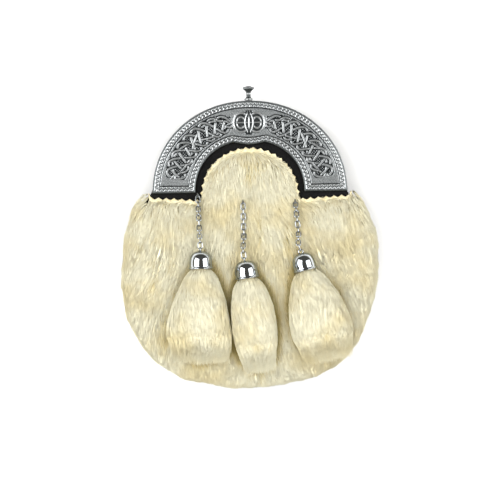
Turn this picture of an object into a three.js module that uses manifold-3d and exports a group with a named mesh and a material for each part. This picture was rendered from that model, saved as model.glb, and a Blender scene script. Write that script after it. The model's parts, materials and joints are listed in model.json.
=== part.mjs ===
// Sporran pouch: a rounded leather pouch that hangs in front of a kilt, lying here on its back.
// Its front is covered in long cream fur and carries a cast metal cantle, a half-round plate with
// raised interlace, and three fur tassels that hang from chains under polished bell caps.
// Millimetres. +Z is out of the front, +Y towards the cantle, +X to the right of someone facing it.
// While it is built, y is 0 at the feet of the cantle and z is 0 at the back.
import * as THREE from 'three';
import { mergeVertices } from 'three/addons/utils/BufferGeometryUtils.js';
import Module from 'manifold-3d';

const wasm = await Module();
wasm.setup();

// Leather walls
const GAP = 0.3; // between neighbouring pieces
const WALL = { back: 2, front: 1.6, gusset: 1.6, sleeve: 1.8 };
const LEATHER_BOTTOM = -146;
const LEATHER_ARCH = { halfWidth: 74.4, height: 69.6, power: 2.06 };
const FUR_OVERHANG = 7; // how far the fur stands out past the leather
const BACK_LIFT = { from: -20, to: 70, height: 14.5 }; // the back rises to the mouth
const FRONT_RIM = { arch: 22, belly: 26, from: 0, to: -46 }; // underside of the front's edge
const BELLY = { height: 6.5, flange: 4, reach: 62, from: -2, to: -52 };
const GUSSET = { inset: 1.2, top: 8, pleat: 3, steps: 28 };

// Fur
const FUR_BOTTOM = -151;
const FUR_DEPTH = 8;
const FUR_EDGE_DEPTH = 2.2; // at the pinked edges, where the hair starts
const FUR_EDGE_RUN = 15; // distance over which it grows to its full depth
const FUR_ROUNDING = 14; // width of the rounded outer edge
const FUR_LIP = 8; // how far that edge reaches down over the gusset
const FUR_TOP = 37;
const TONGUE = { radius: 38.8, centreY: -3.5, from: -4, to: 184 };
const PINK = { pitch: 6, depth: 1.9 };
const SHOULDER = { outerX: 76.5, outerY: -2.3, innerX: 40.6, innerY: -4.6 };

// Outline of the fur, a row for each height: how far it reaches to the left and to the right.
const FUR_OUTLINE = [
  { y: FUR_TOP, left: 82, right: 81 },
  { y: -1, left: 82, right: 81 },
  { y: -4, left: 86, right: 84 },
  { y: -8, left: 90, right: 86.5 },
  { y: -14, left: 92.5, right: 90.3 },
  { y: -22, left: 95.2, right: 94 },
  { y: -32, left: 97.5, right: 97.3 },
  { y: -45, left: 99.4, right: 98.2 },
  { y: -60, left: 99.7, right: 97.8 },
  { y: -75, left: 99.7, right: 95.2 },
  { y: -88, left: 98.4, right: 92.6 },
  { y: -100, left: 94.4, right: 89.2 },
  { y: -110, left: 90, right: 85 },
  { y: -120, left: 83.6, right: 78.2 },
  { y: -129, left: 76, right: 70.8 },
  { y: -137, left: 66, right: 62 },
  { y: -143, left: 51.6, right: 48 },
  { y: -147.6, left: 36, right: 33 },
  { y: FUR_BOTTOM, left: 14, right: 8 },
];

// Dents of the fur: centre, heading, half length, half width and depth.
const FOLDS = [
  { x: -58, y: -35, turn: 20, along: 14, across: 6, depth: 2.2 },
  { x: -66, y: -62, turn: -30, along: 16, across: 6, depth: 2 },
  { x: 66, y: -66, turn: 14, along: 24, across: 6, depth: 2.6 },
  { x: 78, y: -98, turn: -35, along: 18, across: 6, depth: 1.8 },
  { x: -39, y: -28, turn: 3, along: 22, across: 8, depth: 2 },
  { x: -5, y: -32, turn: 2, along: 22, across: 8, depth: 2 },
  { x: 37, y: -30, turn: 7, along: 20, across: 8, depth: 2 },
  { x: 0, y: -138, turn: 90, along: 50, across: 5, depth: 2 },
];

// Cantle
const CANTLE_OUTER = { halfWidth: 75.2, height: 70.6, power: 2.06 };
const CANTLE_INNER = { halfWidth: 42, height: 39.9, power: 2.15 };
const CANTLE_DIP = { halfWidth: 12.1, depth: 3.1 }; // of the inner edge, at its middle
const CANTLE_PLATE = 2.2;
const CANTLE_STEPS = 20;
const BORDER = { share: 0.2, footAngle: 8.5, relief: 0.6 };
const RIM = { share: 0.045, footAngle: 1.9, relief: 0.5 };
const BRAID = { from: 14, to: 76, reach: 0.2, turns: 2, strands: 4, steps: 13, width: 1.8 };
const BRAID_RELIEF = { first: 0.6, step: 0.12 };
const MEDALLION = { loopX: 5.4, loopRadius: 5.2, spindle: 8.6, spindleWidth: 3, band: 1.4 };
const MEDALLION_RELIEF = 0.9;
const SINK = 0.3; // relief starts this far inside the plate

// Knob on the cantle's edge: its radius at each height above that edge.
const KNOB = [
  { up: 0, radius: 3.1 },
  { up: 1.5, radius: 3.1 },
  { up: 2.3, radius: 2 },
  { up: 4.4, radius: 1.6 },
  { up: 6.2, radius: 2.1 },
  { up: 8, radius: 3.7 },
  { up: 9, radius: 4.7 },
  { up: 10, radius: 4.7 },
  { up: 11, radius: 3.2 },
];
const KNOB_SIDES = 12;

// Chains and tassels
const LINK = { length: 6.5, width: 4.3, wire: 1, pitch: 4.25 };
const WIRE_SIDES = 5;
const LINK_STEPS = 8;
const RING_RADIUS = 1.75;
const RING_TO_LINK = 3.2; // from a ring's centre to the middle of the link that it holds
const CHAIN_ABOVE_FUR = 3.9;
const EYE_ABOVE_FUR = 3.6;
const POST_RADIUS = 0.9;
const CAP = { height: 13.5, radius: 8.6, lip: 9.4, wall: 0.9, sides: 12, aboveFur: 6.6 };
const NECK = { radius: 7.2, inside: 4 };
const TASSEL_SIDES = 11;

// A row for each tassel: its eye on the front, the middle of its cap, its lean to the right going
// down, and its sections below the cap's lip: distance down, drift, half width, half thickness.
const TASSELS = [
  {
    name: 'left',
    eye: { x: -40.4, y: -1.9 },
    cap: { x: -38.5, y: -51.8 },
    lean: 1,
    sections: [
      { down: 1.5, drift: 0, half: 9.6, thick: 8.6 },
      { down: 9, drift: -0.6, half: 14.5, thick: 10 },
      { down: 22, drift: -1.2, half: 19.2, thick: 11 },
      { down: 38, drift: -1.6, half: 22, thick: 11 },
      { down: 52, drift: -0.8, half: 23.2, thick: 10 },
      { down: 62, drift: 1.5, half: 18.6, thick: 7.4 },
      { down: 68, drift: 4, half: 12, thick: 4 },
    ],
  },
  {
    name: 'middle',
    eye: { x: -5.5, y: -8 },
    cap: { x: -4, y: -59.6 },
    lean: 8,
    sections: [
      { down: 1.5, drift: 0, half: 9.6, thick: 8.6 },
      { down: 9, drift: 0, half: 13.4, thick: 9.6 },
      { down: 22, drift: 0, half: 16.6, thick: 10.4 },
      { down: 38, drift: -0.4, half: 17.2, thick: 10.4 },
      { down: 52, drift: -1, half: 16, thick: 9 },
      { down: 62, drift: -1.2, half: 12.6, thick: 6.6 },
      { down: 69, drift: -1, half: 7.4, thick: 3.6 },
    ],
  },
  {
    name: 'right',
    eye: { x: 34.6, y: -7.9 },
    cap: { x: 39.9, y: -54.3 },
    lean: 14,
    sections: [
      { down: 1.5, drift: 0, half: 9.6, thick: 8.6 },
      { down: 9, drift: 0, half: 14.6, thick: 10 },
      { down: 22, drift: 0.4, half: 19.4, thick: 11 },
      { down: 38, drift: 0.8, half: 21.6, thick: 11 },
      { down: 52, drift: 0.8, half: 21.4, thick: 10 },
      { down: 62, drift: 0.8, half: 16, thick: 7.4 },
      { down: 68, drift: 0.8, half: 9.6, thick: 4 },
    ],
  },
];

// Locks of hair: base radius, flatness, length, depth of the base, height of the tip.
const LOCK = { radius: 5, flat: 0.5, length: 21, sunk: 2.9, raised: 1.1, sides: 5 };
const FUR_LOCKS = { spacing: 17, rows: 10, spread: 0.35 };
const EDGE_LOCKS = { spacing: 13, inside: 8, outside: 2.4, radius: 5 };
const TASSEL_LOCKS = [-0.78, -0.45, -0.12, 0.2, 0.5, 0.8];

// Belt sleeve on the back: where it starts and ends, its stitched edges and the tunnel's floor.
const SLEEVE = { width: 70, top: 60, bottom: 24, edge: 5.5, slope: 3, floor: 3 };

const leather = new THREE.MeshStandardMaterial({ color: 0x17171a, roughness: 0.55 });
const fur = new THREE.MeshStandardMaterial({ color: 0xece3c4, roughness: 0.95 });
const antique = new THREE.MeshStandardMaterial({ color: 0xa9adb0, roughness: 0.35, metalness: 1 });
const chrome = new THREE.MeshStandardMaterial({ color: 0xdfe3e6, roughness: 0.08, metalness: 1 });

const sporran = new THREE.Group();

function add(name, geometry, material, parent = sporran) {
  const mesh = new THREE.Mesh(geometry, material);
  mesh.name = name;
  parent.add(mesh);
  return mesh;
}

// Solids that are joined and cut
function toSolid(geometry) {
  const bare = new THREE.BufferGeometry();
  bare.setAttribute('position', geometry.getAttribute('position'));
  bare.setIndex(geometry.index);
  const merged = mergeVertices(bare, 1e-4);
  return new wasm.Manifold(new wasm.Mesh({
    numProp: 3,
    vertProperties: merged.attributes.position.array,
    triVerts: new Uint32Array(merged.index.array),
  }));
}

function toGeometry(solid) {
  const mesh = solid.getMesh();
  const geometry = new THREE.BufferGeometry();
  const positions = new Float32Array(mesh.numVert * 3);
  for (let i = 0; i < mesh.numVert; i++) {
    positions.set(mesh.vertProperties.subarray(i * mesh.numProp, i * mesh.numProp + 3), i * 3);
  }
  geometry.setAttribute('position', new THREE.BufferAttribute(positions, 3));
  geometry.setIndex(new THREE.BufferAttribute(mesh.triVerts, 1));
  geometry.computeVertexNormals();
  return geometry;
}

const fuse = (solids) => solids.reduce((whole, next) => whole.add(next));

// The largest of the bodies that a cut leaves.
function mainBody(solid) {
  const bodies = solid.decompose();
  return bodies.reduce((best, next) => (next.volume() > best.volume() ? next : best));
}

// Rounding and outlines
function smooth(from, to, value) {
  const t = THREE.MathUtils.clamp((value - from) / (to - from), 0, 1);
  return t * t * (3 - 2 * t);
}

// Height of a rounded edge, 0 to 1, at a distance inside an outline.
function rounded(distance, width) {
  const t = 1 - THREE.MathUtils.clamp(distance / width, 0, 1);
  return Math.sqrt(1 - t * t);
}

function archPoint(arch, degrees) {
  const turn = THREE.MathUtils.degToRad(degrees);
  const power = 2 / arch.power;
  const across = Math.sign(Math.cos(turn)) * Math.abs(Math.cos(turn)) ** power;
  const up = Math.max(0, Math.sin(turn)) ** power;
  return new THREE.Vector2(arch.halfWidth * across, arch.height * up);
}

function furReach(side, y) {
  const rows = FUR_OUTLINE;
  const next = rows.findIndex((row) => row.y <= y);
  if (next === 0) return rows[0][side];
  if (next < 0) return rows[rows.length - 1][side];
  const [above, below] = [rows[next - 1], rows[next]];
  return THREE.MathUtils.mapLinear(y, above.y, below.y, above[side], below[side]);
}

function leatherReach(side, y) {
  const arch = LEATHER_ARCH;
  if (y > 0) return arch.halfWidth * (1 - (y / arch.height) ** arch.power) ** (1 / arch.power);
  return Math.max(4, furReach(side, (y * FUR_BOTTOM) / LEATHER_BOTTOM) - FUR_OVERHANG);
}

const outlineRow = (reach) => (y) => ({ y, left: reach('left', y), right: reach('right', y) });

// Rows from the mouth to the bottom, closer together towards both ends.
const archRows = [88, 74, 60, 46, 32, 18].map((turn) =>
  LEATHER_ARCH.height * Math.sin(THREE.MathUtils.degToRad(turn)));
const bodyRows = (bottom) => [4, 14, 26, 38, 50, 61, 71, 80, 86, 90].map((turn) =>
  bottom * Math.sin(THREE.MathUtils.degToRad(turn)));
const leatherRows = [...archRows, 0, ...bodyRows(LEATHER_BOTTOM)].map(outlineRow(leatherReach));
const furRows = [FUR_TOP, 28, 18, 8, 0, ...bodyRows(FUR_BOTTOM)].map(outlineRow(furReach));

function outlineOf(rows) {
  const left = rows.map((row) => new THREE.Vector2(-row.left, row.y));
  const right = rows.map((row) => new THREE.Vector2(row.right, row.y));
  return [...left, ...right.reverse()];
}

// Distance from a point to the nearest place on an open outline.
function distanceTo(outline, x, y) {
  let least = Infinity;
  const point = new THREE.Vector2(x, y);
  for (let i = 0; i + 1 < outline.length; i++) {
    const along = outline[i + 1].clone().sub(outline[i]);
    const offset = point.clone().sub(outline[i]);
    const share = THREE.MathUtils.clamp(offset.dot(along) / along.lengthSq(), 0, 1);
    least = Math.min(least, offset.distanceTo(along.multiplyScalar(share)));
  }
  return least;
}

const leatherEdge = outlineOf(leatherRows);
const furEdge = outlineOf(furRows);

// Heights of the soft walls
const backUnder = (x, y) => BACK_LIFT.height * smooth(BACK_LIFT.from, BACK_LIFT.to, y);
const backTop = (x, y) => backUnder(x, y) + WALL.back;

const rimHeight = (y) => FRONT_RIM.arch
  + (FRONT_RIM.belly - FRONT_RIM.arch) * smooth(FRONT_RIM.from, FRONT_RIM.to, y);

function insideLeather(x, y) {
  const reach = leatherReach(x < 0 ? 'left' : 'right', y);
  return Math.abs(x) < reach && y > LEATHER_BOTTOM;
}

function frontUnder(x, y) {
  if (y > BELLY.from || !insideLeather(x, y)) return rimHeight(y);
  const distance = distanceTo(leatherEdge, x, y) - BELLY.flange;
  const dome = rounded(distance, BELLY.reach) * smooth(BELLY.from, BELLY.to, y);
  return rimHeight(y) + BELLY.height * dome;
}

const frontTop = (x, y) => frontUnder(x, y) + WALL.front;

function foldDepth(x, y) {
  return FOLDS.reduce((sum, fold) => {
    const turn = THREE.MathUtils.degToRad(fold.turn);
    const [dx, dy] = [x - fold.x, y - fold.y];
    const along = (dx * Math.sin(turn) - dy * Math.cos(turn)) / fold.along;
    const across = (dx * Math.cos(turn) + dy * Math.sin(turn)) / fold.across;
    return sum + fold.depth * Math.exp(-along * along - across * across);
  }, 0);
}

function shoulderY(x) {
  const { outerX, outerY, innerX, innerY } = SHOULDER;
  return THREE.MathUtils.mapLinear(Math.abs(x), outerX, innerX, outerY, innerY);
}

function furTop(x, y) {
  const fromTongue = TONGUE.radius - Math.hypot(x, y - TONGUE.centreY);
  const fromPinking = Math.max(fromTongue, shoulderY(x) - y);
  const grown = smooth(0, FUR_EDGE_RUN, fromPinking);
  const depth = FUR_EDGE_DEPTH + (FUR_DEPTH - FUR_EDGE_DEPTH) * grown;
  const inside = y > 0 ? FUR_ROUNDING : distanceTo(furEdge, x, y);
  const edge = rounded(inside, FUR_ROUNDING);
  return frontTop(x, y) + (depth - foldDepth(x, y)) * edge + GAP;
}

// A soft body between two surfaces over the same outline, with shares of the half width as columns.
function quilt(rows, columns, top, bottom) {
  const positions = [];
  const pointsOf = (surface) => rows.map(({ y, left, right }) => columns.map((share) => {
    const x = share * (share < 0 ? left : right);
    return [x, y, surface(x, y)];
  }));
  const quad = (a, b, c, d) => positions.push(...a, ...b, ...c, ...a, ...c, ...d);
  const [upper, lower] = [top, bottom].map(pointsOf);
  const last = columns.length - 1;
  for (let r = 0; r + 1 < rows.length; r++) {
    for (let c = 0; c < last; c++) {
      quad(upper[r][c], upper[r + 1][c], upper[r + 1][c + 1], upper[r][c + 1]);
      quad(lower[r][c], lower[r][c + 1], lower[r + 1][c + 1], lower[r + 1][c]);
    }
    quad(upper[r][0], lower[r][0], lower[r + 1][0], upper[r + 1][0]);
    quad(upper[r][last], upper[r + 1][last], lower[r + 1][last], lower[r][last]);
  }
  const end = rows.length - 1;
  for (let c = 0; c < last; c++) {
    quad(upper[0][c], upper[0][c + 1], lower[0][c + 1], lower[0][c]);
    quad(upper[end][c + 1], upper[end][c], lower[end][c], lower[end][c + 1]);
  }
  const geometry = new THREE.BufferGeometry();
  geometry.setAttribute('position', new THREE.Float32BufferAttribute(positions, 3));
  return geometry;
}

const FAR = 90; // beyond every surface, for bodies that cut
const backColumns = [-1, -0.5, 0, 0.5, 1];
const frontColumns = [-1, -0.92, -0.7, -0.35, 0, 0.35, 0.7, 0.92, 1];
const furColumns = [-1, -0.96, -0.87, -0.68, -0.46, -0.23, 0, 0.23, 0.46, 0.68, 0.87, 0.96, 1];

const widened = (rows, by) => rows.map(({ y, left, right }, index) => {
  const shift = index === 0 ? by : index === rows.length - 1 ? -by : 0;
  return { y: y + shift, left: left + by, right: right + by };
});

// Back panel: one piece of leather, flat on its lower part and rising to the mouth
function backPanel() {
  return quilt(leatherRows, backColumns, backTop, backUnder);
}

// Front panel: flat behind the cantle, with a full belly below it
function frontPanel() {
  return quilt(leatherRows, frontColumns, frontTop, frontUnder);
}

// Gusset: the side wall, from foot to foot round the bottom, with a shallow pleat along its middle
function gusset() {
  const path = new THREE.CatmullRomCurve3(leatherEdge
    .filter((point) => point.y <= GUSSET.top + 4)
    .map((point) => new THREE.Vector3(point.x, point.y, 0)), false, 'centripetal');
  const stations = path.getSpacedPoints(GUSSET.steps);
  const middle = rimHeight(BELLY.to) / 2;
  const levels = [
    { z: -2, inward: 0 },
    { z: middle, inward: GUSSET.pleat },
    { z: 2 * middle + 6, inward: 0 },
  ];
  const sections = stations.map((point, index) => {
    const before = stations[Math.max(0, index - 1)];
    const after = stations[Math.min(stations.length - 1, index + 1)];
    const along = after.clone().sub(before).normalize();
    const inward = new THREE.Vector3(-along.y, along.x, 0);
    const at = (level, depth) => point.clone()
      .addScaledVector(inward, GUSSET.inset + level.inward + depth).setZ(level.z).toArray();
    return [
      ...levels.map((level) => at(level, WALL.gusset)),
      ...[...levels].reverse().map((level) => at(level, 0)),
    ];
  });
  const front = toSolid(frontPanel()).translate([0, 0, -GAP]);
  const back = toSolid(backPanel()).translate([0, 0, GAP]);
  return toGeometry(mainBody(toSolid(loft(sections)).subtract(front).subtract(back)));
}

// A closed body through a row of sections that have the same number of points.
function loft(sections) {
  const positions = [];
  const sides = sections[0].length;
  for (let s = 0; s + 1 < sections.length; s++) {
    for (let i = 0; i < sides; i++) {
      const j = (i + 1) % sides;
      const [a, b, c, d] = [sections[s][i], sections[s][j], sections[s + 1][j], sections[s + 1][i]];
      positions.push(...a, ...b, ...c, ...a, ...c, ...d);
    }
  }
  const ends = [[...sections[0]].reverse(), sections[sections.length - 1]];
  for (const ring of ends) {
    const middle = [0, 1, 2].map((axis) => ring.reduce((sum, p) => sum + p[axis], 0) / sides);
    for (let i = 0; i < sides; i++) {
      positions.push(...ring[i], ...ring[(i + 1) % sides], ...middle);
    }
  }
  const geometry = new THREE.BufferGeometry();
  geometry.setAttribute('position', new THREE.Float32BufferAttribute(positions, 3));
  return geometry;
}

// Even, repeatable scatter
function seeded(seed) {
  let state = seed;
  return () => {
    state = (state * 16807) % 2147483647;
    return state / 2147483647;
  };
}

// One lock: a flattened cone from its root to its tip
function lock(root, tip, radius) {
  const along = tip.clone().sub(root);
  const length = along.length();
  along.normalize();
  const side = new THREE.Vector3().crossVectors(along, new THREE.Vector3(0, 0, 1)).normalize();
  const up = new THREE.Vector3().crossVectors(side, along);
  const cone = new THREE.ConeGeometry(radius, length, LOCK.sides).scale(1, 1, LOCK.flat);
  cone.applyMatrix4(new THREE.Matrix4().makeBasis(side, along, up));
  cone.translate(...root.clone().add(tip).multiplyScalar(0.5).toArray());
  return toSolid(cone);
}

// Tassel frames: positions along and across a tassel that lies on the fur
function frameOf(tassel) {
  const lean = THREE.MathUtils.degToRad(tassel.lean);
  const down = new THREE.Vector2(Math.sin(lean), -Math.cos(lean));
  const across = new THREE.Vector2(-down.y, down.x);
  const capZ = furTop(tassel.cap.x, tassel.cap.y) + CAP.aboveFur;
  const at = (distance, drift) => new THREE.Vector2(tassel.cap.x, tassel.cap.y)
    .addScaledVector(down, distance).addScaledVector(across, drift);
  return { down, across, capZ, lean, at };
}

const LIP_DOWN = CAP.height / 2; // the lip lies this far below the middle of the cap

function underTassel(x, y, margin) {
  return TASSELS.some((tassel) => {
    const { down, across } = frameOf(tassel);
    const offset = new THREE.Vector2(x - tassel.cap.x, y - tassel.cap.y);
    const distance = offset.dot(down) - LIP_DOWN;
    const row = tassel.sections.find((section) => section.down >= distance);
    if (distance < -CAP.height - margin || !row) return false;
    return Math.abs(offset.dot(across) - row.drift) < row.half + margin;
  });
}

function nearChain(x, y, margin) {
  return TASSELS.some(({ eye, cap }) => {
    if (y > eye.y + margin || y < cap.y) return false;
    return Math.abs(x - THREE.MathUtils.mapLinear(y, eye.y, cap.y, eye.x, cap.x)) < margin;
  });
}

function insideFur(x, y) {
  const reach = furReach(x < 0 ? 'left' : 'right', y) - EDGE_LOCKS.inside;
  return Math.abs(x) < reach && y > FUR_BOTTOM + EDGE_LOCKS.inside;
}

// Fur cover: a pad of fur over the front, in locks, pinked along the cantle and hollow behind
function pinkedCutter() {
  const points = [[-120, 60], [-120, 1], [-84, -0.6], [-78, 0.6]];
  const zigzag = (count, place) => {
    for (let i = 0; i <= count; i++) points.push(place(i / count, i % 2 ? PINK.depth : 0));
  };
  const shoulderLength = SHOULDER.outerX - SHOULDER.innerX;
  const shoulderTeeth = 2 * Math.round(shoulderLength / PINK.pitch);
  const shoulder = (sign) => (share, tooth) => {
    const x = sign * (sign < 0 ? SHOULDER.outerX - shoulderLength * share
      : SHOULDER.innerX + shoulderLength * share);
    return [x, shoulderY(x) - tooth];
  };
  zigzag(shoulderTeeth, shoulder(-1));
  const arc = THREE.MathUtils.degToRad(TONGUE.to - TONGUE.from);
  const tongueTeeth = 2 * Math.round((arc * TONGUE.radius) / PINK.pitch);
  zigzag(tongueTeeth, (share, tooth) => {
    const turn = THREE.MathUtils.degToRad(TONGUE.to) - arc * share;
    const radius = TONGUE.radius - tooth;
    return [radius * Math.cos(turn), TONGUE.centreY + radius * Math.sin(turn)];
  });
  zigzag(shoulderTeeth, shoulder(1));
  points.push([78, 0.6], [84, -0.6], [120, 1], [120, 60]);
  const shape = new THREE.Shape(points.map(([x, y]) => new THREE.Vector2(x, y)));
  return toSolid(new THREE.ExtrudeGeometry(shape, { depth: 2 * FAR, bevelEnabled: false })
    .translate(0, 0, -FAR));
}

function furLocks() {
  const random = seeded(11);
  const locks = [];
  const { spacing, rows, spread } = FUR_LOCKS;
  for (let r = 0; r < rows; r++) {
    for (let c = -6; c <= 6; c++) {
      const x = (c + (r % 2) / 2 + (random() - 0.5) * spread) * spacing;
      const y = 20 - (r + (random() - 0.5) * spread) * spacing;
      const turn = x * 0.004 + (random() - 0.5) * 0.5;
      const tip = new THREE.Vector2(x + LOCK.length * Math.sin(turn), y - LOCK.length * Math.cos(turn));
      const onTongue = Math.hypot(x, y - TONGUE.centreY) < TONGUE.radius - LOCK.radius;
      const onBody = y < shoulderY(x) - LOCK.radius && insideFur(x, y) && insideFur(tip.x, tip.y);
      const hidden = underTassel(x, y, 3) || underTassel(tip.x, tip.y, 3)
        || nearChain(x, y, 9) || nearChain(tip.x, tip.y, 9);
      if (!(onTongue || onBody) || hidden) continue;
      const root = new THREE.Vector3(x, y, furTop(x, y) - LOCK.sunk);
      locks.push(lock(root, new THREE.Vector3(tip.x, tip.y, furTop(tip.x, tip.y) + LOCK.raised),
        LOCK.radius));
    }
  }
  return locks;
}

function edgeLocks() {
  const random = seeded(5);
  const edge = furEdge.filter((point) => point.y < -4);
  const path = new THREE.CatmullRomCurve3(edge
    .map((point) => new THREE.Vector3(point.x, point.y, 0)), false, 'centripetal');
  const count = Math.round(path.getLength() / EDGE_LOCKS.spacing);
  return Array.from({ length: count }, (_, index) => {
    const share = (index + 0.5) / count;
    const point = path.getPointAt(share);
    const along = path.getTangentAt(share);
    const outward = new THREE.Vector3(along.y, -along.x, 0);
    const heading = outward.clone().add(new THREE.Vector3(0, -0.8, 0)).normalize();
    const level = rimHeight(point.y) - 1 + random() * 3;
    const root = point.clone().addScaledVector(heading, -EDGE_LOCKS.inside).setZ(level);
    const length = EDGE_LOCKS.outside * (0.6 + random() * 0.5) / Math.max(0.6, heading.dot(outward));
    return lock(root, point.clone().addScaledVector(heading, length).setZ(level - 1.5),
      EDGE_LOCKS.radius);
  });
}

function capSeat(tassel) {
  const { capZ, lean } = frameOf(tassel);
  const radius = CAP.lip + GAP;
  return toSolid(new THREE.CylinderGeometry(radius, radius, CAP.height + 2 * GAP + 4, CAP.sides)
    .rotateZ(lean).translate(tassel.cap.x, tassel.cap.y, capZ));
}

function postHole({ eye }) {
  const radius = RING_RADIUS + LINK.wire / 2 + GAP;
  return toSolid(new THREE.CylinderGeometry(radius, radius, FAR, 8)
    .rotateX(Math.PI / 2).translate(eye.x, eye.y, FAR / 2));
}

function furCover() {
  const pad = toSolid(quilt(furRows, furColumns, furTop, (x, y) => rimHeight(y) - FUR_LIP));
  const pouch = toSolid(quilt(widened(leatherRows, 0.4), frontColumns,
    (x, y) => frontTop(x, y) + GAP, () => -FAR));
  const panel = toSolid(frontPanel()).translate([0, 0, GAP]);
  const seats = [...TASSELS.map(capSeat), ...TASSELS.map(postHole)];
  const cuts = fuse([pinkedCutter(), pouch, panel, ...seats]);
  return mainBody(fuse([pad, ...furLocks(), ...edgeLocks()]).subtract(cuts));
}

// Cantle: a cast arch with a raised rim and border, two panels of interlace and a medallion
function dippedInner(degrees) {
  const point = archPoint(CANTLE_INNER, degrees);
  const share = Math.abs(point.x) / CANTLE_DIP.halfWidth;
  if (share < 1) point.y -= CANTLE_DIP.depth * Math.cos((share * Math.PI) / 2);
  return point;
}

function bandPoint(degrees, share) {
  return dippedInner(degrees).lerp(archPoint(CANTLE_OUTER, degrees), share);
}

// The cantle's outline, inset by a share of its width and by an angle at the feet.
function bandOutline(share, footAngle) {
  const foot = footAngle * 0.62; // in millimetres: the feet are cut straight across
  const side = (at) => Array.from({ length: CANTLE_STEPS + 1 }, (_, index) => {
    const point = bandPoint((180 * index) / CANTLE_STEPS, at);
    return new THREE.Vector2(point.x, Math.max(point.y, foot));
  });
  return [...side(1 - share), ...side(share).reverse()];
}

function extrude(points, holes, depth) {
  const shape = new THREE.Shape(points);
  shape.holes = holes.map((hole) => new THREE.Path(hole));
  return new THREE.ExtrudeGeometry(shape, { depth, bevelEnabled: false });
}

const plateTop = FRONT_RIM.arch + WALL.front + GAP + CANTLE_PLATE;

function raised(points, holes, relief) {
  return toSolid(extrude(points, holes, relief + SINK).translate(0, 0, plateTop - SINK));
}

// A ribbon of even width along a line.
function ribbon(line, width) {
  const sides = [1, -1].map((sign) => line.map((point, index) => {
    const before = line[Math.max(0, index - 1)];
    const after = line[Math.min(line.length - 1, index + 1)];
    const along = after.clone().sub(before).normalize();
    return point.clone().add(new THREE.Vector2(-along.y, along.x).multiplyScalar((sign * width) / 2));
  }));
  return [...sides[0], ...sides[1].reverse()];
}

function braid(mirror) {
  return Array.from({ length: BRAID.strands }, (_, strand) => {
    const line = Array.from({ length: BRAID.steps + 1 }, (_unused, index) => {
      const share = index / BRAID.steps;
      const phase = 2 * Math.PI * (BRAID.turns * share + strand / BRAID.strands);
      const degrees = THREE.MathUtils.lerp(BRAID.from, BRAID.to, share);
      const across = 0.5 + BRAID.reach * Math.cos(phase);
      return bandPoint(mirror ? 180 - degrees : degrees, across);
    });
    return raised(ribbon(line, BRAID.width), [], BRAID_RELIEF.first + BRAID_RELIEF.step * strand);
  });
}

function medallion() {
  const middleY = bandPoint(90, 0.5).y;
  const { loopX, loopRadius, spindle, spindleWidth, band } = MEDALLION;
  const circle = (x, radius) => Array.from({ length: 12 }, (_, index) => {
    const turn = (Math.PI * index) / 6;
    return new THREE.Vector2(x + radius * Math.cos(turn), middleY + radius * Math.sin(turn));
  });
  const loops = [-loopX, loopX].map((x) =>
    raised(circle(x, loopRadius), [circle(x, loopRadius - band)], MEDALLION_RELIEF));
  const pointed = [[0, -spindle], [spindleWidth / 2, 0], [0, spindle], [-spindleWidth / 2, 0]]
    .map(([x, y]) => new THREE.Vector2(x, middleY + y));
  return [...loops, raised(pointed, [], MEDALLION_RELIEF + BRAID_RELIEF.step)];
}

function cantle() {
  const edge = bandOutline(0, 0);
  const plate = toSolid(extrude(edge, [], CANTLE_PLATE).translate(0, 0, plateTop - CANTLE_PLATE));
  const border = raised(edge, [bandOutline(BORDER.share, BORDER.footAngle)], BORDER.relief);
  const rim = raised(edge, [bandOutline(RIM.share, RIM.footAngle)], BORDER.relief + RIM.relief);
  return fuse([plate, border, rim, ...braid(false), ...braid(true), ...medallion()]);
}

// Knob: turned, with a collar on the cantle's edge and a flared head
function knob() {
  const profile = [
    new THREE.Vector2(0, KNOB[0].up),
    ...KNOB.map(({ up, radius }) => new THREE.Vector2(radius, up)),
    new THREE.Vector2(0, KNOB[KNOB.length - 1].up),
  ];
  return new THREE.LatheGeometry(profile, KNOB_SIDES)
    .translate(0, CANTLE_OUTER.height + GAP, plateTop - CANTLE_PLATE / 2 + RIM.relief);
}

// Belt sleeve: a wide leather loop stitched to the back along its upper and lower edges
function beltSleeve() {
  const { top, bottom, edge, slope, floor } = SLEEVE;
  const seated = (y) => new THREE.Vector2(y, backUnder(0, y) - GAP);
  const inner = [
    seated(top),
    seated(top - edge),
    new THREE.Vector2(top - edge - slope, floor),
    new THREE.Vector2(bottom + edge + slope, floor),
    seated(bottom + edge),
    seated(bottom),
  ];
  const outer = inner.map((point) => point.clone().setY(point.y - WALL.sleeve));
  outer[1].x += WALL.sleeve / 2;
  outer[2].x += WALL.sleeve / 2;
  outer[3].x -= WALL.sleeve / 2;
  outer[4].x -= WALL.sleeve / 2;
  return extrude([...inner, ...outer.reverse()], [], SLEEVE.width)
    .rotateZ(Math.PI / 2).rotateY(Math.PI / 2).translate(-SLEEVE.width / 2, 0, 0);
}

// Links, rings and caps
function linkGeometry() {
  const link = new THREE.TorusGeometry((LINK.width - LINK.wire) / 2, LINK.wire / 2,
    WIRE_SIDES, LINK_STEPS).rotateZ(Math.PI / LINK_STEPS);
  const stretch = (LINK.length - LINK.width) / 2;
  const position = link.getAttribute('position');
  for (let i = 0; i < position.count; i++) {
    position.setY(i, position.getY(i) + Math.sign(position.getY(i)) * stretch);
  }
  return link;
}

// A ring round the X axis when upright, or round the Z axis when flat.
function ring(upright) {
  const torus = new THREE.TorusGeometry(RING_RADIUS, LINK.wire / 2, WIRE_SIDES, LINK_STEPS);
  return upright ? torus.rotateY(Math.PI / 2) : torus;
}

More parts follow.
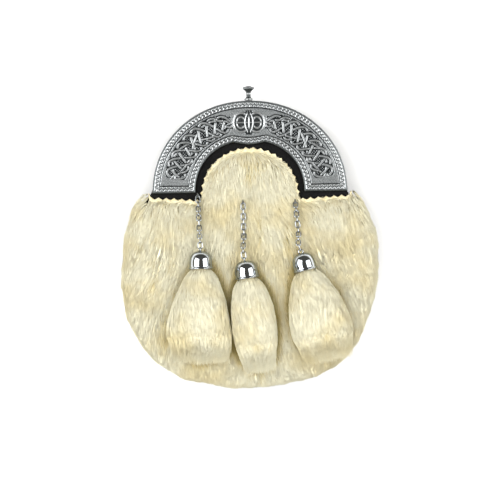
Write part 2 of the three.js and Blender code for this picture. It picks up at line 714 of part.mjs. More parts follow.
function cap(upright) {
  const { height, radius, lip, wall, sides } = CAP;
  const dome = (size, top) => [90, 64, 38, 12].map((turn) => {
    const angle = THREE.MathUtils.degToRad(turn);
    return new THREE.Vector2(size * Math.cos(angle), top * Math.sin(angle));
  });
  const outer = dome(radius, height - 2.4).map((point) => point.setY(point.y + 2.4));
  const inner = dome(radius - wall, height - 2.4 - wall).map((point) => point.setY(point.y + 2.4));
  outer[0].x = 0;
  inner[0].x = 0;
  const profile = [
    ...inner,
    new THREE.Vector2(radius - wall, 0),
    new THREE.Vector2(lip, 0),
    new THREE.Vector2(lip, 1),
    new THREE.Vector2(radius, 1.8),
    ...outer.reverse(),
  ];
  const bell = toSolid(new THREE.LatheGeometry(profile, sides));
  const loop = toSolid(ring(upright).translate(0, height + RING_RADIUS - LINK.wire / 2, 0));
  return toGeometry(mainBody(bell.add(loop)));
}

// Distance from the middle of a cap up to the centre of its ring
const RING_UP = CAP.height / 2 + RING_RADIUS - LINK.wire / 2;

function anchor(height) {
  const post = toSolid(new THREE.CylinderGeometry(POST_RADIUS, POST_RADIUS, height, 8)
    .rotateX(Math.PI / 2).translate(0, 0, height / 2));
  const loop = toSolid(ring(true).translate(0, 0, height + RING_RADIUS - LINK.wire / 2));
  return toGeometry(post.add(loop));
}

// The chain's line: from the eye over the fur to the ring of the cap
function chainPath(tassel, eyeZ) {
  const { eye } = tassel;
  const { capZ, at } = frameOf(tassel);
  const end = at(-RING_UP, 0);
  const between = [0.2, 0.4, 0.6].map((share) => {
    const x = THREE.MathUtils.lerp(eye.x, end.x, share);
    const y = THREE.MathUtils.lerp(eye.y, end.y, share);
    return new THREE.Vector3(x, y, furTop(x, y) + CHAIN_ABOVE_FUR);
  });
  const before = at(-RING_UP - LINK.length, 0);
  return new THREE.CatmullRomCurve3([
    new THREE.Vector3(eye.x, eye.y, eyeZ),
    ...between,
    new THREE.Vector3(before.x, before.y, capZ - 0.6),
    new THREE.Vector3(end.x, end.y, capZ),
  ], false, 'centripetal');
}

// Tassel fur: its neck is held in the cap and it lies on the fur of the front
function tasselFur(tassel, cover) {
  const { down, across, capZ, at } = frameOf(tassel);
  const section = ({ distance, drift, half, thick, z }) => {
    const centre = at(distance, drift);
    return Array.from({ length: TASSEL_SIDES }, (_, index) => {
      const turn = (2 * Math.PI * index) / TASSEL_SIDES;
      const side = across.clone().multiplyScalar(half * Math.cos(turn));
      return [centre.x + side.x, centre.y + side.y, z + thick * Math.sin(turn)];
    });
  };
  const neckTop = LIP_DOWN - NECK.inside;
  const neck = [neckTop, LIP_DOWN + 0.4].map((distance) => (
    { distance, drift: 0, half: NECK.radius, thick: NECK.radius, z: capZ }));
  const rest = tassel.sections.map(({ down: below, drift, half, thick }) => {
    const centre = at(LIP_DOWN + below, drift);
    const lying = furTop(centre.x, centre.y) + thick - 1.6;
    const z = THREE.MathUtils.lerp(capZ, lying, smooth(0, 20, below));
    return { distance: LIP_DOWN + below, drift, half, thick, z };
  });
  const body = toSolid(loft([...neck, ...rest].map(section)));
  const random = seeded(3 + tassel.lean);
  const locks = TASSEL_LOCKS.flatMap((share) => [30, 48].map((start) => {
    const row = rest.find(({ distance }) => distance >= LIP_DOWN + start) ?? rest[rest.length - 1];
    const from = at(LIP_DOWN + start, row.drift + share * row.half * 0.9);
    const to = at(LIP_DOWN + start + 20 + random() * 4 - 5 * share * share,
      row.drift + share * row.half * 0.62);
    const height = Math.sqrt(1 - (share * 0.9) ** 2) * row.thick;
    const fall = start > 40 ? 0.35 : 0.9;
    return lock(new THREE.Vector3(from.x, from.y, row.z + height - 3),
      new THREE.Vector3(to.x, to.y, row.z + height * fall), LOCK.radius);
  }));
  const lying = cover.translate([0, 0, 0.4]).add(cover);
  const resting = toSolid(quilt(furRows, furColumns, (x, y) => furTop(x, y), () => 0));
  return mainBody(fuse([body, ...locks]).subtract(lying).subtract(resting));
}

add('back_panel', backPanel(), leather);
add('gusset', gusset(), leather);
add('front_panel', frontPanel(), leather);
const cover = furCover();
add('fur_cover', toGeometry(cover), fur);
add('cantle', toGeometry(cantle()), antique);
add('cantle_knob', knob(), antique);
add('belt_sleeve', beltSleeve(), leather);

for (const tassel of TASSELS) {
  const { name, eye } = tassel;
  const postFoot = frontTop(eye.x, eye.y) + 0.4;
  const postTop = furTop(eye.x, eye.y) + EYE_ABOVE_FUR - RING_RADIUS;
  add(`chain_anchor_${name}`, anchor(postTop - postFoot), chrome)
    .position.set(eye.x, eye.y, postFoot);

  const path = chainPath(tassel, postTop + RING_RADIUS - LINK.wire / 2);
  const length = path.getLength();
  const chain = length - 2 * RING_TO_LINK;
  const count = Math.ceil(chain / LINK.pitch) + 1;
  for (let i = 0; i < count; i++) {
    const share = (RING_TO_LINK + (chain * i) / (count - 1)) / length;
    const along = path.getTangentAt(share);
    const side = new THREE.Vector3().crossVectors(along, new THREE.Vector3(0, 0, 1)).normalize();
    const up = new THREE.Vector3().crossVectors(side, along);
    const basis = i % 2
      ? new THREE.Matrix4().makeBasis(up, along, side.clone().negate())
      : new THREE.Matrix4().makeBasis(side, along, up);
    const link = add(`${name}_link_${String(i + 1).padStart(2, '0')}`, linkGeometry(), chrome);
    link.quaternion.setFromRotationMatrix(basis);
    link.position.copy(path.getPointAt(share));
  }

  const { capZ, lean, at } = frameOf(tassel);
  const lip = at(LIP_DOWN, 0);
  const hanging = new THREE.Group();
  hanging.position.set(lip.x, lip.y, capZ);
  hanging.rotation.z = lean;
  sporran.add(hanging);
  add(`tassel_cap_${name}`, cap(count % 2 === 1), chrome, hanging);
  add(`tassel_fur_${name}`, toGeometry(tasselFur(tassel, cover)), fur);
}

// The origin goes to the middle of the part's footprint, at the height of its back.
const box = new THREE.Box3().setFromObject(sporran, true);
const middle = box.getCenter(new THREE.Vector3());
sporran.position.set(-middle.x, -middle.y, -box.min.z);
sporran.updateMatrixWorld(true);

export default sporran;
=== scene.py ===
"""A sporran lying on its back: a furred leather pouch with a cast cantle and three tassels."""
import json
import math

import bmesh
import bpy
import numpy as np
from mathutils import Matrix, Vector, noise
from mathutils.bvhtree import BVHTree

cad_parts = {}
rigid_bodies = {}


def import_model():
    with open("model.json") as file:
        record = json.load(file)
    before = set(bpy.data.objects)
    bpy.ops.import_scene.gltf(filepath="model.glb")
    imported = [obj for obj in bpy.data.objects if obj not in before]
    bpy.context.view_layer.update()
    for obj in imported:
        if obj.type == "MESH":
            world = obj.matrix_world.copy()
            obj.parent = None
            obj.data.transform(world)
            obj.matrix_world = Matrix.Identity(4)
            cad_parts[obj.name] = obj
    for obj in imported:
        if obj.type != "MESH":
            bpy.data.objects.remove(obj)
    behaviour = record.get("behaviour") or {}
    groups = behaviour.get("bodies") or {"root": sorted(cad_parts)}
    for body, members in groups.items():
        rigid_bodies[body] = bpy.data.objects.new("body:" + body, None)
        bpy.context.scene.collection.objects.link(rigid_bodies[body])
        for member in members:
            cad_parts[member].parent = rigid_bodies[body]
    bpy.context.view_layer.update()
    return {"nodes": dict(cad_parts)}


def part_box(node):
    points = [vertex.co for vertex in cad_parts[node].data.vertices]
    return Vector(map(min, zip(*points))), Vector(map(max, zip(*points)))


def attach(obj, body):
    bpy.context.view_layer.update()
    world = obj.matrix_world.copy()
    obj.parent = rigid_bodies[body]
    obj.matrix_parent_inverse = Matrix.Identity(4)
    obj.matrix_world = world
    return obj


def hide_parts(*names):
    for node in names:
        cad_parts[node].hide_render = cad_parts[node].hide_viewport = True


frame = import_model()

scene = bpy.context.scene

# Camera: straight above the pouch. The photograph shows the sporran flat on white, turned a
# little, through a long lens.
MM = 0.001
PIXEL_MM = 0.77
PHOTO_PIXELS = 500
cantle_low, cantle_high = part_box("cantle")
FEET = Vector(((cantle_low.x + cantle_high.x) / 2, cantle_low.y, 0))  # midway between the feet
AIM_MM = (-0.7, -44.65)  # the middle of the photograph, measured from the feet
TURN_DEG = 0.9
CAMERA_HEIGHT = 2.2
SCALE_HEIGHT = 0.03  # where a pixel of the picture is PIXEL_MM: the level of the cantle
SENSOR_MM = 36

camera_data = bpy.data.cameras.new("camera")
camera_data.sensor_width = SENSOR_MM
camera_data.lens = (SENSOR_MM * (CAMERA_HEIGHT - SCALE_HEIGHT)
                    / (PHOTO_PIXELS * PIXEL_MM * MM))
camera = bpy.data.objects.new("camera", camera_data)
camera.location = FEET + Vector((AIM_MM[0] * MM, AIM_MM[1] * MM, CAMERA_HEIGHT))
camera.rotation_euler = (0, 0, math.radians(-TURN_DEG))
scene.collection.objects.link(camera)
scene.camera = camera


# Floor and light: a plain white table in a light tent. Two soft boxes stand either side of the
# lens with a dark gap between them, which polished metal shows as bright windows. A ceiling and
# a wall at the near end fill the shadows.
def linear(hex_colour):
    """The linear colour of an sRGB hex value."""
    parts = [int(hex_colour[i:i + 2], 16) / 255 for i in (1, 3, 5)]
    return tuple(p / 12.92 if p <= 0.04045 else ((p + 0.055) / 1.055) ** 2.4 for p in parts) + (1,)


def add_node(tree, kind, inputs=None, **settings):
    """Adds a node with its settings, and sets or links each of its inputs."""
    made = tree.nodes.new(kind)
    for name, value in settings.items():
        setattr(made, name, value)
    for key, value in (inputs or {}).items():
        if isinstance(value, bpy.types.NodeSocket):
            tree.links.new(value, made.inputs[key])
        else:
            made.inputs[key].default_value = value
    return made


def new_material(name):
    """An empty node material and its tree."""
    material = bpy.data.materials.new(name)
    material.use_nodes = True
    material.node_tree.nodes.clear()
    return material, material.node_tree


def finish_material(tree, shader):
    """Makes a shader the surface of its material."""
    add_node(tree, "ShaderNodeOutputMaterial", {"Surface": shader.outputs[0]})


def new_object(name, mesh, material):
    """A finished piece: its place is in its mesh."""
    made = bpy.data.objects.new(name, mesh)
    scene.collection.objects.link(made)
    mesh.materials.clear()
    mesh.materials.append(material)
    return made


def set_stops(ramp_node, *stops):
    """Gives a colour ramp its stops, as pairs of place and colour."""
    ramp = ramp_node.color_ramp
    ramp.elements[0].position, ramp.elements[-1].position = stops[0][0], stops[-1][0]
    for place, _ in stops[1:-1]:
        ramp.elements.new(place)
    for element, (_, hex_colour) in zip(ramp.elements, stops):
        element.color = linear(hex_colour)


FLOOR_SIZE = 6.0

# A matt white that shows nothing but soft shadows.
floor_material, tree = new_material("white_painted_board")
finish_material(tree, add_node(tree, "ShaderNodeBsdfPrincipled", {
    "Base Color": linear("#F4F4F3"), "Roughness": 0.9, "Specular IOR Level": 0.2}))
floor_mesh = bpy.data.meshes.new("floor")
half = FLOOR_SIZE / 2
floor_mesh.from_pydata([(-half, -half, 0), (half, -half, 0), (half, half, 0), (-half, half, 0)],
                       [], [(0, 1, 2, 3)])
new_object("floor", floor_mesh, floor_material)

# Polished metal shows the two windows. The wall and the ceiling only fill, so it doesn't show them.
SOFT_BOXES = [
    {"name": "left_window", "at": (-1.47, 0.3, 1.63), "size": (1.6, 1.8), "watts": 44, "shows": True},
    {"name": "right_window", "at": (1.63, 0.3, 1.5), "size": (1.6, 1.8), "watts": 36, "shows": True},
    {"name": "near_wall", "at": (0.0, -1.8, 0.95), "size": (2.6, 1.3), "watts": 26, "shows": False},
    {"name": "ceiling", "at": (0.0, -0.2, 2.6), "size": (3.0, 3.0), "watts": 58, "shows": False},
]
for box in SOFT_BOXES:
    light = bpy.data.lights.new(box["name"], "AREA")
    light.shape = "RECTANGLE"
    light.size, light.size_y = box["size"]
    light.energy = box["watts"]
    lamp = bpy.data.objects.new(box["name"], light)
    lamp.location = box["at"]
    lamp.rotation_euler = (-Vector(box["at"])).to_track_quat("-Z", "Y").to_euler()
    lamp.visible_glossy = box["shows"]
    scene.collection.objects.link(lamp)

# The studio is dark above and bright round the horizon, where its white walls are.
world = bpy.data.worlds.new("studio")
world.use_nodes = True
sky = world.node_tree
direction = add_node(sky, "ShaderNodeTexCoord")
elevation = add_node(sky, "ShaderNodeSeparateXYZ", {0: direction.outputs["Generated"]})
walls = add_node(sky, "ShaderNodeValToRGB", {"Fac": elevation.outputs["Z"]})
set_stops(walls, (0.05, "#D8D2C2"), (0.22, "#5A5854"))
sky.links.new(walls.outputs["Color"], sky.nodes["Background"].inputs["Color"])
sky.nodes["Background"].inputs["Strength"].default_value = 1.0
scene.world = world
scene.view_settings.view_transform = "Standard"
scene.view_settings.look = "None"


# Leather walls: back, gusset, front and belt sleeve. Cowhide dyed black and plated, which gives it
# a fine even grain and a low satin gloss. Its cut edges are painted and its seams are stitched.
LEATHER_GRAIN_MM = 0.9  # drawn at twice its real size, so that a picture can show it
LEATHER_CREASE_MM = 14
EDGE_FOLD = math.radians(48)  # a fold sharper than this stays an edge
STRAIGHT_ON = math.cos(math.radians(24))  # edges that bend more than this make a corner

# Near black with a low satin gloss, which the pebbled grain breaks up.
leather, tree = new_material("black_cowhide_dyed_and_plated")
place = add_node(tree, "ShaderNodeTexCoord")
grain = add_node(tree, "ShaderNodeTexVoronoi", {
    "Vector": place.outputs["Object"], "Scale": 1 / (LEATHER_GRAIN_MM * MM)},
    feature="DISTANCE_TO_EDGE")
grain_height = add_node(tree, "ShaderNodeMapRange", {
    "Value": grain.outputs["Distance"], "From Min": 0.0, "From Max": 0.12})
crease = add_node(tree, "ShaderNodeTexNoise", {
    "Vector": place.outputs["Object"], "Scale": 1 / (LEATHER_CREASE_MM * MM), "Detail": 5})
dye = add_node(tree, "ShaderNodeValToRGB", {"Fac": crease.outputs["Fac"]})
set_stops(dye, (0.3, "#040404"), (0.75, "#0A0909"))
gloss = add_node(tree, "ShaderNodeMapRange", {
    "Value": crease.outputs["Fac"], "To Min": 0.38, "To Max": 0.6})
relief = add_node(tree, "ShaderNodeBump", {
    "Height": grain_height.outputs["Result"], "Strength": 0.5, "Distance": 0.12 * MM})
finish_material(tree, add_node(tree, "ShaderNodeBsdfPrincipled", {
    "Base Color": dye.outputs["Color"], "Roughness": gloss.outputs["Result"],
    "Normal": relief.outputs["Normal"], "IOR": 1.5, "Specular IOR Level": 0.17}))


def mesh_of(work, name):
    """Turns a finished bmesh into a smooth-shaded mesh."""
    mesh = bpy.data.meshes.new(name)
    work.to_mesh(mesh)
    work.free()
    mesh.shade_smooth()
    return mesh


def baked(made):
    """Turns an object's modifiers into its mesh."""
    graph = bpy.context.evaluated_depsgraph_get()
    mesh = bpy.data.meshes.new_from_object(made.evaluated_get(graph))
    old = made.data
    made.modifiers.clear()
    made.data = mesh
    bpy.data.meshes.remove(old)
    mesh.shade_smooth()
    return made


def smoothed(name, node, material, levels=2):
    """A smooth copy of a CAD wall: its facets are joined to quads and subdivided, its edges kept."""
    work = bmesh.new()
    work.from_mesh(frame["nodes"][node].data)
    bmesh.ops.remove_doubles(work, verts=work.verts, dist=0.001 * MM)
    bmesh.ops.join_triangles(work, faces=work.faces, cmp_seam=False,
                             angle_face_threshold=math.radians(25),
                             angle_shape_threshold=math.radians(100))
    crease_layer = work.edges.layers.float.new("crease_edge")
    for edge in work.edges:
        if len(edge.link_faces) == 2 and edge.calc_face_angle() > EDGE_FOLD:
            edge[crease_layer] = 0.85
    corner_layer = work.verts.layers.float.new("crease_vert")
    for vert in work.verts:
        ways = [(e.other_vert(vert).co - vert.co).normalized() for e in vert.link_edges
                if e[crease_layer] > 0]
        if any(abs(a.dot(b)) < STRAIGHT_ON for a in ways for b in ways if a is not b):
            vert[corner_layer] = 1.0
    made = new_object(name, mesh_of(work, name), material)
    surface = made.modifiers.new("rounding", "SUBSURF")
    surface.levels = surface.render_levels = levels
    made = baked(made)
    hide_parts(node)
    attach(made, "root")
    return made


LEATHER_WALLS = {"back_panel": "leather_back", "gusset": "leather_gusset",
                 "front_panel": "leather_front", "belt_sleeve": "leather_belt_sleeve"}
for node, name in LEATHER_WALLS.items():
    smoothed(name, node, leather)


# Cantle: a half-round plate cast in zinc alloy, plated and antiqued. The dark wash stays in the
# recesses and the raised parts are rubbed bright. A border of two rows of points runs round a
# stippled field with two interlace panels and a medallion. It is fixed over the leather mouth.
OUTER_ARCH = {"half_width": 75.2, "height": 70.6, "power": 2.06}
INNER_ARCH = {"half_width": 42.0, "height": 39.9, "power": 2.15}
DIP = {"half_width": 12.1, "depth": 3.1}
PLATE_MM = 2.2
BAND_MM = 33.2
CELL_MM = 0.36  # the relief is worked on a net of cells this large
# Distances in from the edge, and the pitch and height of the zigzag's teeth, in mm.
BORDER = {"rim": 1.15, "points": 1.65, "points_end": 4.75, "line": 5.5, "pitch": 3.1,
          "zigzag": 2.025}
STIPPLE_MM = 1.1
DOTS_MM = 2.1  # between the raised dots in the ground of the panels
# A panel begins and ends at degrees up from its foot. The rest is in mm.
PANEL = {"from": 10.5, "to": 78.0, "half_width": 8.7, "length": 58.0, "strap": 0.82}
SPINDLE_MM = {"arc": 8.9, "tip": 9.2}
EDGE_ROUND_MM = 0.35
# Heights and depths of the relief. Its ground lies a little under the plate's own top.
RELIEF_MM = {"under": 0.1, "rim": 0.95, "points": 0.85, "groove": 0.12, "field": 0.42,
             "stipple": 0.07, "recess": 0.08, "dots": 0.36, "strap_foot": 0.12, "strap": 0.82,
             "crossing": 0.14, "split": 0.3, "medallion_ground": 0.14, "medallion": 0.84,
             "most": 1.15}
# How worn each part is: 0 is full of dark wash and 1 is rubbed bright.
WEAR = {"rim": 0.42, "between_points": 0.18, "groove": 0.08, "field": 0.63, "stipple": 0.34,
        "mottle": 0.14, "recess": 0.02, "dots": 0.8, "strap_foot": 0.05, "strap_side": 0.1,
        "strap": 0.95, "split": 0.55, "crossing": 0.1, "medallion_ground": 0.16,
        "medallion_gap": 0.1, "medallion_foot": 0.25, "medallion": 0.7, "back": 0.45}
plate_top = (cantle_low.z / MM) + PLATE_MM


def arch_points(arch, degrees):
    """Points on one of the two arches, from the right foot round to the left."""
    turn = np.radians(degrees)
    power = 2 / arch["power"]
    across = np.sign(np.cos(turn)) * np.abs(np.cos(turn)) ** power
    up = np.maximum(0, np.sin(turn)) ** power
    return np.stack([arch["half_width"] * across, arch["height"] * up], axis=-1)


def inner_points(degrees):
    """The inner edge: its arch with a small dip at the crown."""
    points = arch_points(INNER_ARCH, degrees)
    share = np.clip(np.abs(points[..., 0]) / DIP["half_width"], 0, 1)
    points[..., 1] -= DIP["depth"] * np.cos(share * np.pi / 2)
    return points


def eased(low, high, value):
    """Rises smoothly from 0 at low to 1 at high."""
    t = np.clip((value - low) / (high - low), 0, 1)
    return t * t * (3 - 2 * t)


def run_length(points):
    """Distance along a line, measured from its middle."""
    steps = np.linalg.norm(np.diff(points, axis=0), axis=1)
    run = np.concatenate([[0], np.cumsum(steps)])
    return run - run[-1] / 2


# Angles are spaced so that the cells are even along the middle of the band.
fine = np.linspace(0, 180, 4001)
middle_line = (arch_points(OUTER_ARCH, fine) + arch_points(INNER_ARCH, fine)) / 2
middle_run = run_length(middle_line)
columns = int((middle_run[-1] - middle_run[0]) / CELL_MM)
angles = np.interp(np.linspace(middle_run[0], middle_run[-1], columns), middle_run, fine)
outer_edge, inner_edge = arch_points(OUTER_ARCH, angles), inner_points(angles)
rows = int(BAND_MM / CELL_MM)
across = np.linspace(0, 1, rows)
grid = inner_edge[:, None, :] + (outer_edge - inner_edge)[:, None, :] * across[None, :, None]
gx, gy = grid[..., 0], grid[..., 1]

band_width = np.linalg.norm(outer_edge - inner_edge, axis=1)[:, None]
from_outer = (1 - across)[None, :] * band_width
from_inner = across[None, :] * band_width
from_foot = gy
from_arches = np.minimum(from_outer, from_inner)
edge_distance = np.minimum(from_arches, from_foot)
outer_run = np.broadcast_to(run_length(outer_edge)[:, None], gx.shape)
inner_run = np.broadcast_to(run_length(inner_edge)[:, None], gx.shape)
along_edge = np.where(from_outer <= from_inner, outer_run, inner_run)
along_edge = np.where(from_foot <= from_arches, gx, along_edge)

# Border: a rim, a band cut by a zigzag into two rows of points, and a line inside them.
zigzag_phase = np.abs(((along_edge / BORDER["pitch"]) % 1) * 2 - 1)
zigzag_middle = (BORDER["points"] + BORDER["points_end"]) / 2
zigzag_at = zigzag_middle + BORDER["zigzag"] * (zigzag_phase - 0.5)
in_zigzag = 1 - eased(0.3, 0.72, np.abs(edge_distance - zigzag_at))
rim_height = RELIEF_MM["rim"] * eased(0, 0.5, edge_distance)
rim_height *= 1 - eased(0.9, BORDER["rim"] + 0.1, edge_distance)
point_height = RELIEF_MM["points"] * eased(BORDER["points"] - 0.45, BORDER["points"], edge_distance)
point_height *= 1 - eased(BORDER["points_end"], BORDER["points_end"] + 0.4, edge_distance)
point_height *= 1 - 0.85 * in_zigzag
border_height = RELIEF_MM["under"] + np.maximum(rim_height, point_height)
in_field = eased(BORDER["line"], BORDER["line"] + 0.4, edge_distance)

# Field: stippled all over with a punch.
stipple = np.sin(gx * 2 * np.pi / STIPPLE_MM + 1.3 * np.sin(gy * 3.1))
stipple *= np.sin(gy * 2 * np.pi / STIPPLE_MM + 1.3 * np.sin(gx * 2.7))
field_height = RELIEF_MM["field"] + RELIEF_MM["stipple"] * stipple
height = border_height * (1 - in_field) + in_field * field_height
point_shade = np.clip(point_height / RELIEF_MM["points"], 0, 1)
point_shade = WEAR["between_points"] + (1 - WEAR["between_points"]) * point_shade
border_shade = np.where(edge_distance < BORDER["rim"] + 0.25, WEAR["rim"], point_shade)
mottle = np.sin(gx * 0.9 + 2 * np.sin(gy * 0.7)) * np.sin(gy * 1.1 + 2 * np.sin(gx * 0.6))
mottle = 0.5 + 0.5 * mottle
field_shade = WEAR["field"] + WEAR["stipple"] * stipple + WEAR["mottle"] * mottle
shade = np.where(in_field > 0.5, field_shade, border_shade)
line_groove = eased(4.95, 5.15, edge_distance) * (1 - eased(5.45, 5.75, edge_distance))
height -= RELIEF_MM["groove"] * line_groove
shade = shade * (1 - line_groove) + WEAR["groove"] * line_groove

# Interlace: six straps plaited over and under in each panel, split down their middles. A strap
# goes turns times to and fro across the panel, as far as reach, and begins at start.
CROSSING = {"turn": [0, 45, 90, 135, 180, 225, 270, 315, 360],
            "level": [0, 1, -1, 1, 0, -1, 1, -1, 0]}
STRAPS = [{"turns": 2.35, "start": start, "reach": 1.0} for start in (0.0, 0.25, 0.5, 0.75)]
STRAPS += [{"turns": 1.0, "start": start, "reach": 0.72} for start in (0.12, 0.62)]
FOOT_ROUNDING, CROWN_ROUNDING = 14, 5  # a panel is blunt at the foot and rounder at the medallion
STEEPEST = 3
side_angle = np.where(angles > 90, 180 - angles, angles)
along_panel = (side_angle - PANEL["from"]) / (PANEL["to"] - PANEL["from"])
band_offset = (across[None, :] - 0.5) * band_width  # from the middle of the band, in mm
share = np.clip(along_panel, 0, 1)[:, None]
rounding = np.where(share < 0.5, FOOT_ROUNDING, CROWN_ROUNDING)
spread = np.sqrt(np.clip(1 - np.abs(2 * share - 1) ** rounding, 0, 1))
inside = ((along_panel > 0) & (along_panel < 1))[:, None]
recess = inside & (np.abs(band_offset) < PANEL["half_width"] * spread + 0.3)
recess &= edge_distance > BORDER["line"] + 0.6
dots = eased(0.3, 0.6, np.sin(gx * 2 * np.pi / DOTS_MM) * np.sin(gy * 2 * np.pi / DOTS_MM))
height = np.where(recess, RELIEF_MM["recess"] + RELIEF_MM["dots"] * dots, height)
shade = np.where(recess, WEAR["recess"] + WEAR["dots"] * dots, shade)
top_level = np.full(gx.shape, -9.0)
panel_run = share[:, 0] * PANEL["length"] + 1e-9 * np.arange(columns)
for strap in STRAPS:
    turn = 2 * np.pi * (strap["turns"] * share + strap["start"]) + np.pi / 4
    reach = (PANEL["half_width"] - PANEL["strap"]) * strap["reach"]
    centre = reach * spread * np.cos(turn)
    slope = np.gradient(centre[:, 0], panel_run)[:, None]
    slope = np.clip(np.nan_to_num(slope), -STEEPEST, STEEPEST)
    distance = np.abs(band_offset - centre) / np.sqrt(1 + slope ** 2)
    level = np.interp(np.degrees(turn) % 360, CROSSING["turn"], CROSSING["level"])
    covers = inside & (distance < PANEL["strap"] + 0.4) & (level > top_level)
    on_strap = distance < PANEL["strap"]
    edge = eased(0, 0.35, PANEL["strap"] - distance)
    split = 1 - eased(0.08, 0.3, distance)
    strap_height = RELIEF_MM["strap_foot"] + edge * (
        RELIEF_MM["strap"] + RELIEF_MM["crossing"] * level - RELIEF_MM["split"] * split)
    strap_shade = WEAR["strap_side"] + WEAR["strap"] * edge - WEAR["split"] * split
    strap_shade = strap_shade + WEAR["crossing"] * level + WEAR["crossing"] * stipple
    height = np.where(covers, np.where(on_strap, strap_height, RELIEF_MM["strap_foot"]), height)
    shade = np.where(covers, np.where(on_strap, strap_shade, WEAR["strap_foot"]), shade)
    top_level = np.where(covers, level, top_level)

# Medallion: a pointed spindle of two crossing bands between two round loops.
medallion_y = float(np.mean([arch_points(OUTER_ARCH, 90.0)[1], inner_points(np.array(90.0))[1]]))
mx, my = gx, gy - medallion_y


def loop_band(centre_x, radius_x, radius_y, half_band):
    """An oval loop: 0 on its middle line and 1 at the edges of its band."""
    ring = np.sqrt(((mx - centre_x) / radius_x) ** 2 + (my / radius_y) ** 2)
    return np.abs(ring - 1) * min(radius_x, radius_y) / half_band


def spindle_band(half_width, half_band):
    """A pointed oval drawn by two crossing arcs, as a band."""
    arc = half_width * (1 - (my / SPINDLE_MM["arc"]) ** 2)
    beyond = np.maximum(0, np.abs(my) - SPINDLE_MM["tip"])
    return np.hypot(np.abs(np.abs(mx) - np.abs(arc)), beyond * 3) / half_band


near_medallion = np.hypot(mx / 12.6, my / 9.2) < 1
medallion_dark = (np.hypot(mx / 12.4, my / 8.2) < 1) | ((np.abs(mx) < 2.6) & (np.abs(my) < 9.3))
height = np.where(medallion_dark, RELIEF_MM["medallion_ground"], height)
shade = np.where(medallion_dark, WEAR["medallion_ground"], shade)
# Two large loops, two small ones inside them, a bead at either end, the spindle and its rib.
MEDALLION_BANDS = [
    loop_band(-5.9, 5.9, 7.3, 0.75), loop_band(5.9, 5.9, 7.3, 0.75),
    loop_band(-6.3, 3.1, 4.3, 0.65), loop_band(6.3, 3.1, 4.3, 0.65),
    np.hypot(np.maximum(0, np.abs(mx) - 9.4), my) / 0.7, spindle_band(3.1, 0.75),
    np.hypot(mx / 0.8, my / 7.2),
]
SPINDLE_ORDER = 5  # from here on a band is undercut, so that it stands off those below it
for order, band in enumerate(MEDALLION_BANDS):
    on_band = band < 1
    gap = (band >= 1) & (band < 1.5) & near_medallion & (order >= SPINDLE_ORDER)
    edge = eased(0, 0.45, 1 - band)
    height = np.where(gap, RELIEF_MM["medallion_ground"], height)
    height = np.where(on_band, RELIEF_MM["medallion_ground"]
                      + (RELIEF_MM["medallion"] + 0.04 * order) * edge, height)
    shade = np.where(gap, WEAR["medallion_gap"], shade)
    shade = np.where(on_band, WEAR["medallion_foot"] + WEAR["medallion"] * edge, shade)

ground_z = plate_top - RELIEF_MM["under"]
top_z = ground_z + np.where(edge_distance < EDGE_ROUND_MM,
                            height * eased(0, EDGE_ROUND_MM, edge_distance),
                            np.clip(height, 0, RELIEF_MM["most"]))


def write_attribute(mesh, name, values):
    """Stores a number or a vector for each point of a mesh."""
    vector = values.ndim == 2
    layer = mesh.attributes.new(name, "FLOAT_VECTOR" if vector else "FLOAT", "POINT")
    layer.data.foreach_set("vector" if vector else "value", values.reshape(-1).astype(float))


def cantle_mesh():
    """The plate: the worked top, a flat back and the edge between them."""
    count = columns * rows
    top = np.stack([gx, gy, top_z], axis=-1).reshape(-1, 3)
    rim = [r * rows + c for r, c in
           [(i, 0) for i in range(columns)] + [(columns - 1, j) for j in range(1, rows)]
           + [(i, rows - 1) for i in range(columns - 2, -1, -1)]
           + [(0, j) for j in range(rows - 2, 0, -1)]]
    base = top[rim].copy()
    base[:, 2] = cantle_low.z / MM
    points = np.concatenate([top, base]) * MM
    points[:, 0] += FEET.x
    points[:, 1] += FEET.y
    index = np.arange(count).reshape(columns, rows)
    corners = [index[:-1, :-1], index[1:, :-1], index[1:, 1:], index[:-1, 1:]]
    faces = np.stack(corners, axis=-1).reshape(-1, 4).tolist()
    ring = len(rim)
    for k in range(ring):
        after = (k + 1) % ring
        faces.append([rim[k], rim[after], count + after, count + k])

    # The back is a strip of quads from the inner edge to the outer one.
    inner_side = list(range(columns))
    outer_side = [0] * columns
    start = columns - 1 + rows - 1
    for k in range(columns):
        outer_side[columns - 1 - k] = (start + k) % ring
    for k in range(columns - 1):
        faces.append([count + v for v in
                      (inner_side[k], inner_side[k + 1], outer_side[k + 1], outer_side[k])])
    mesh = bpy.data.meshes.new("cantle_plate")
    mesh.from_pydata(points.tolist(), [], faces)
    worn = np.full(len(points), WEAR["back"])
    worn[:count] = np.clip(shade, 0, 1).reshape(-1)
    write_attribute(mesh, "worn", worn)
    work = bmesh.new()
    work.from_mesh(mesh)
    bmesh.ops.recalc_face_normals(work, faces=work.faces)
    return mesh_of(work, "cantle_casting")


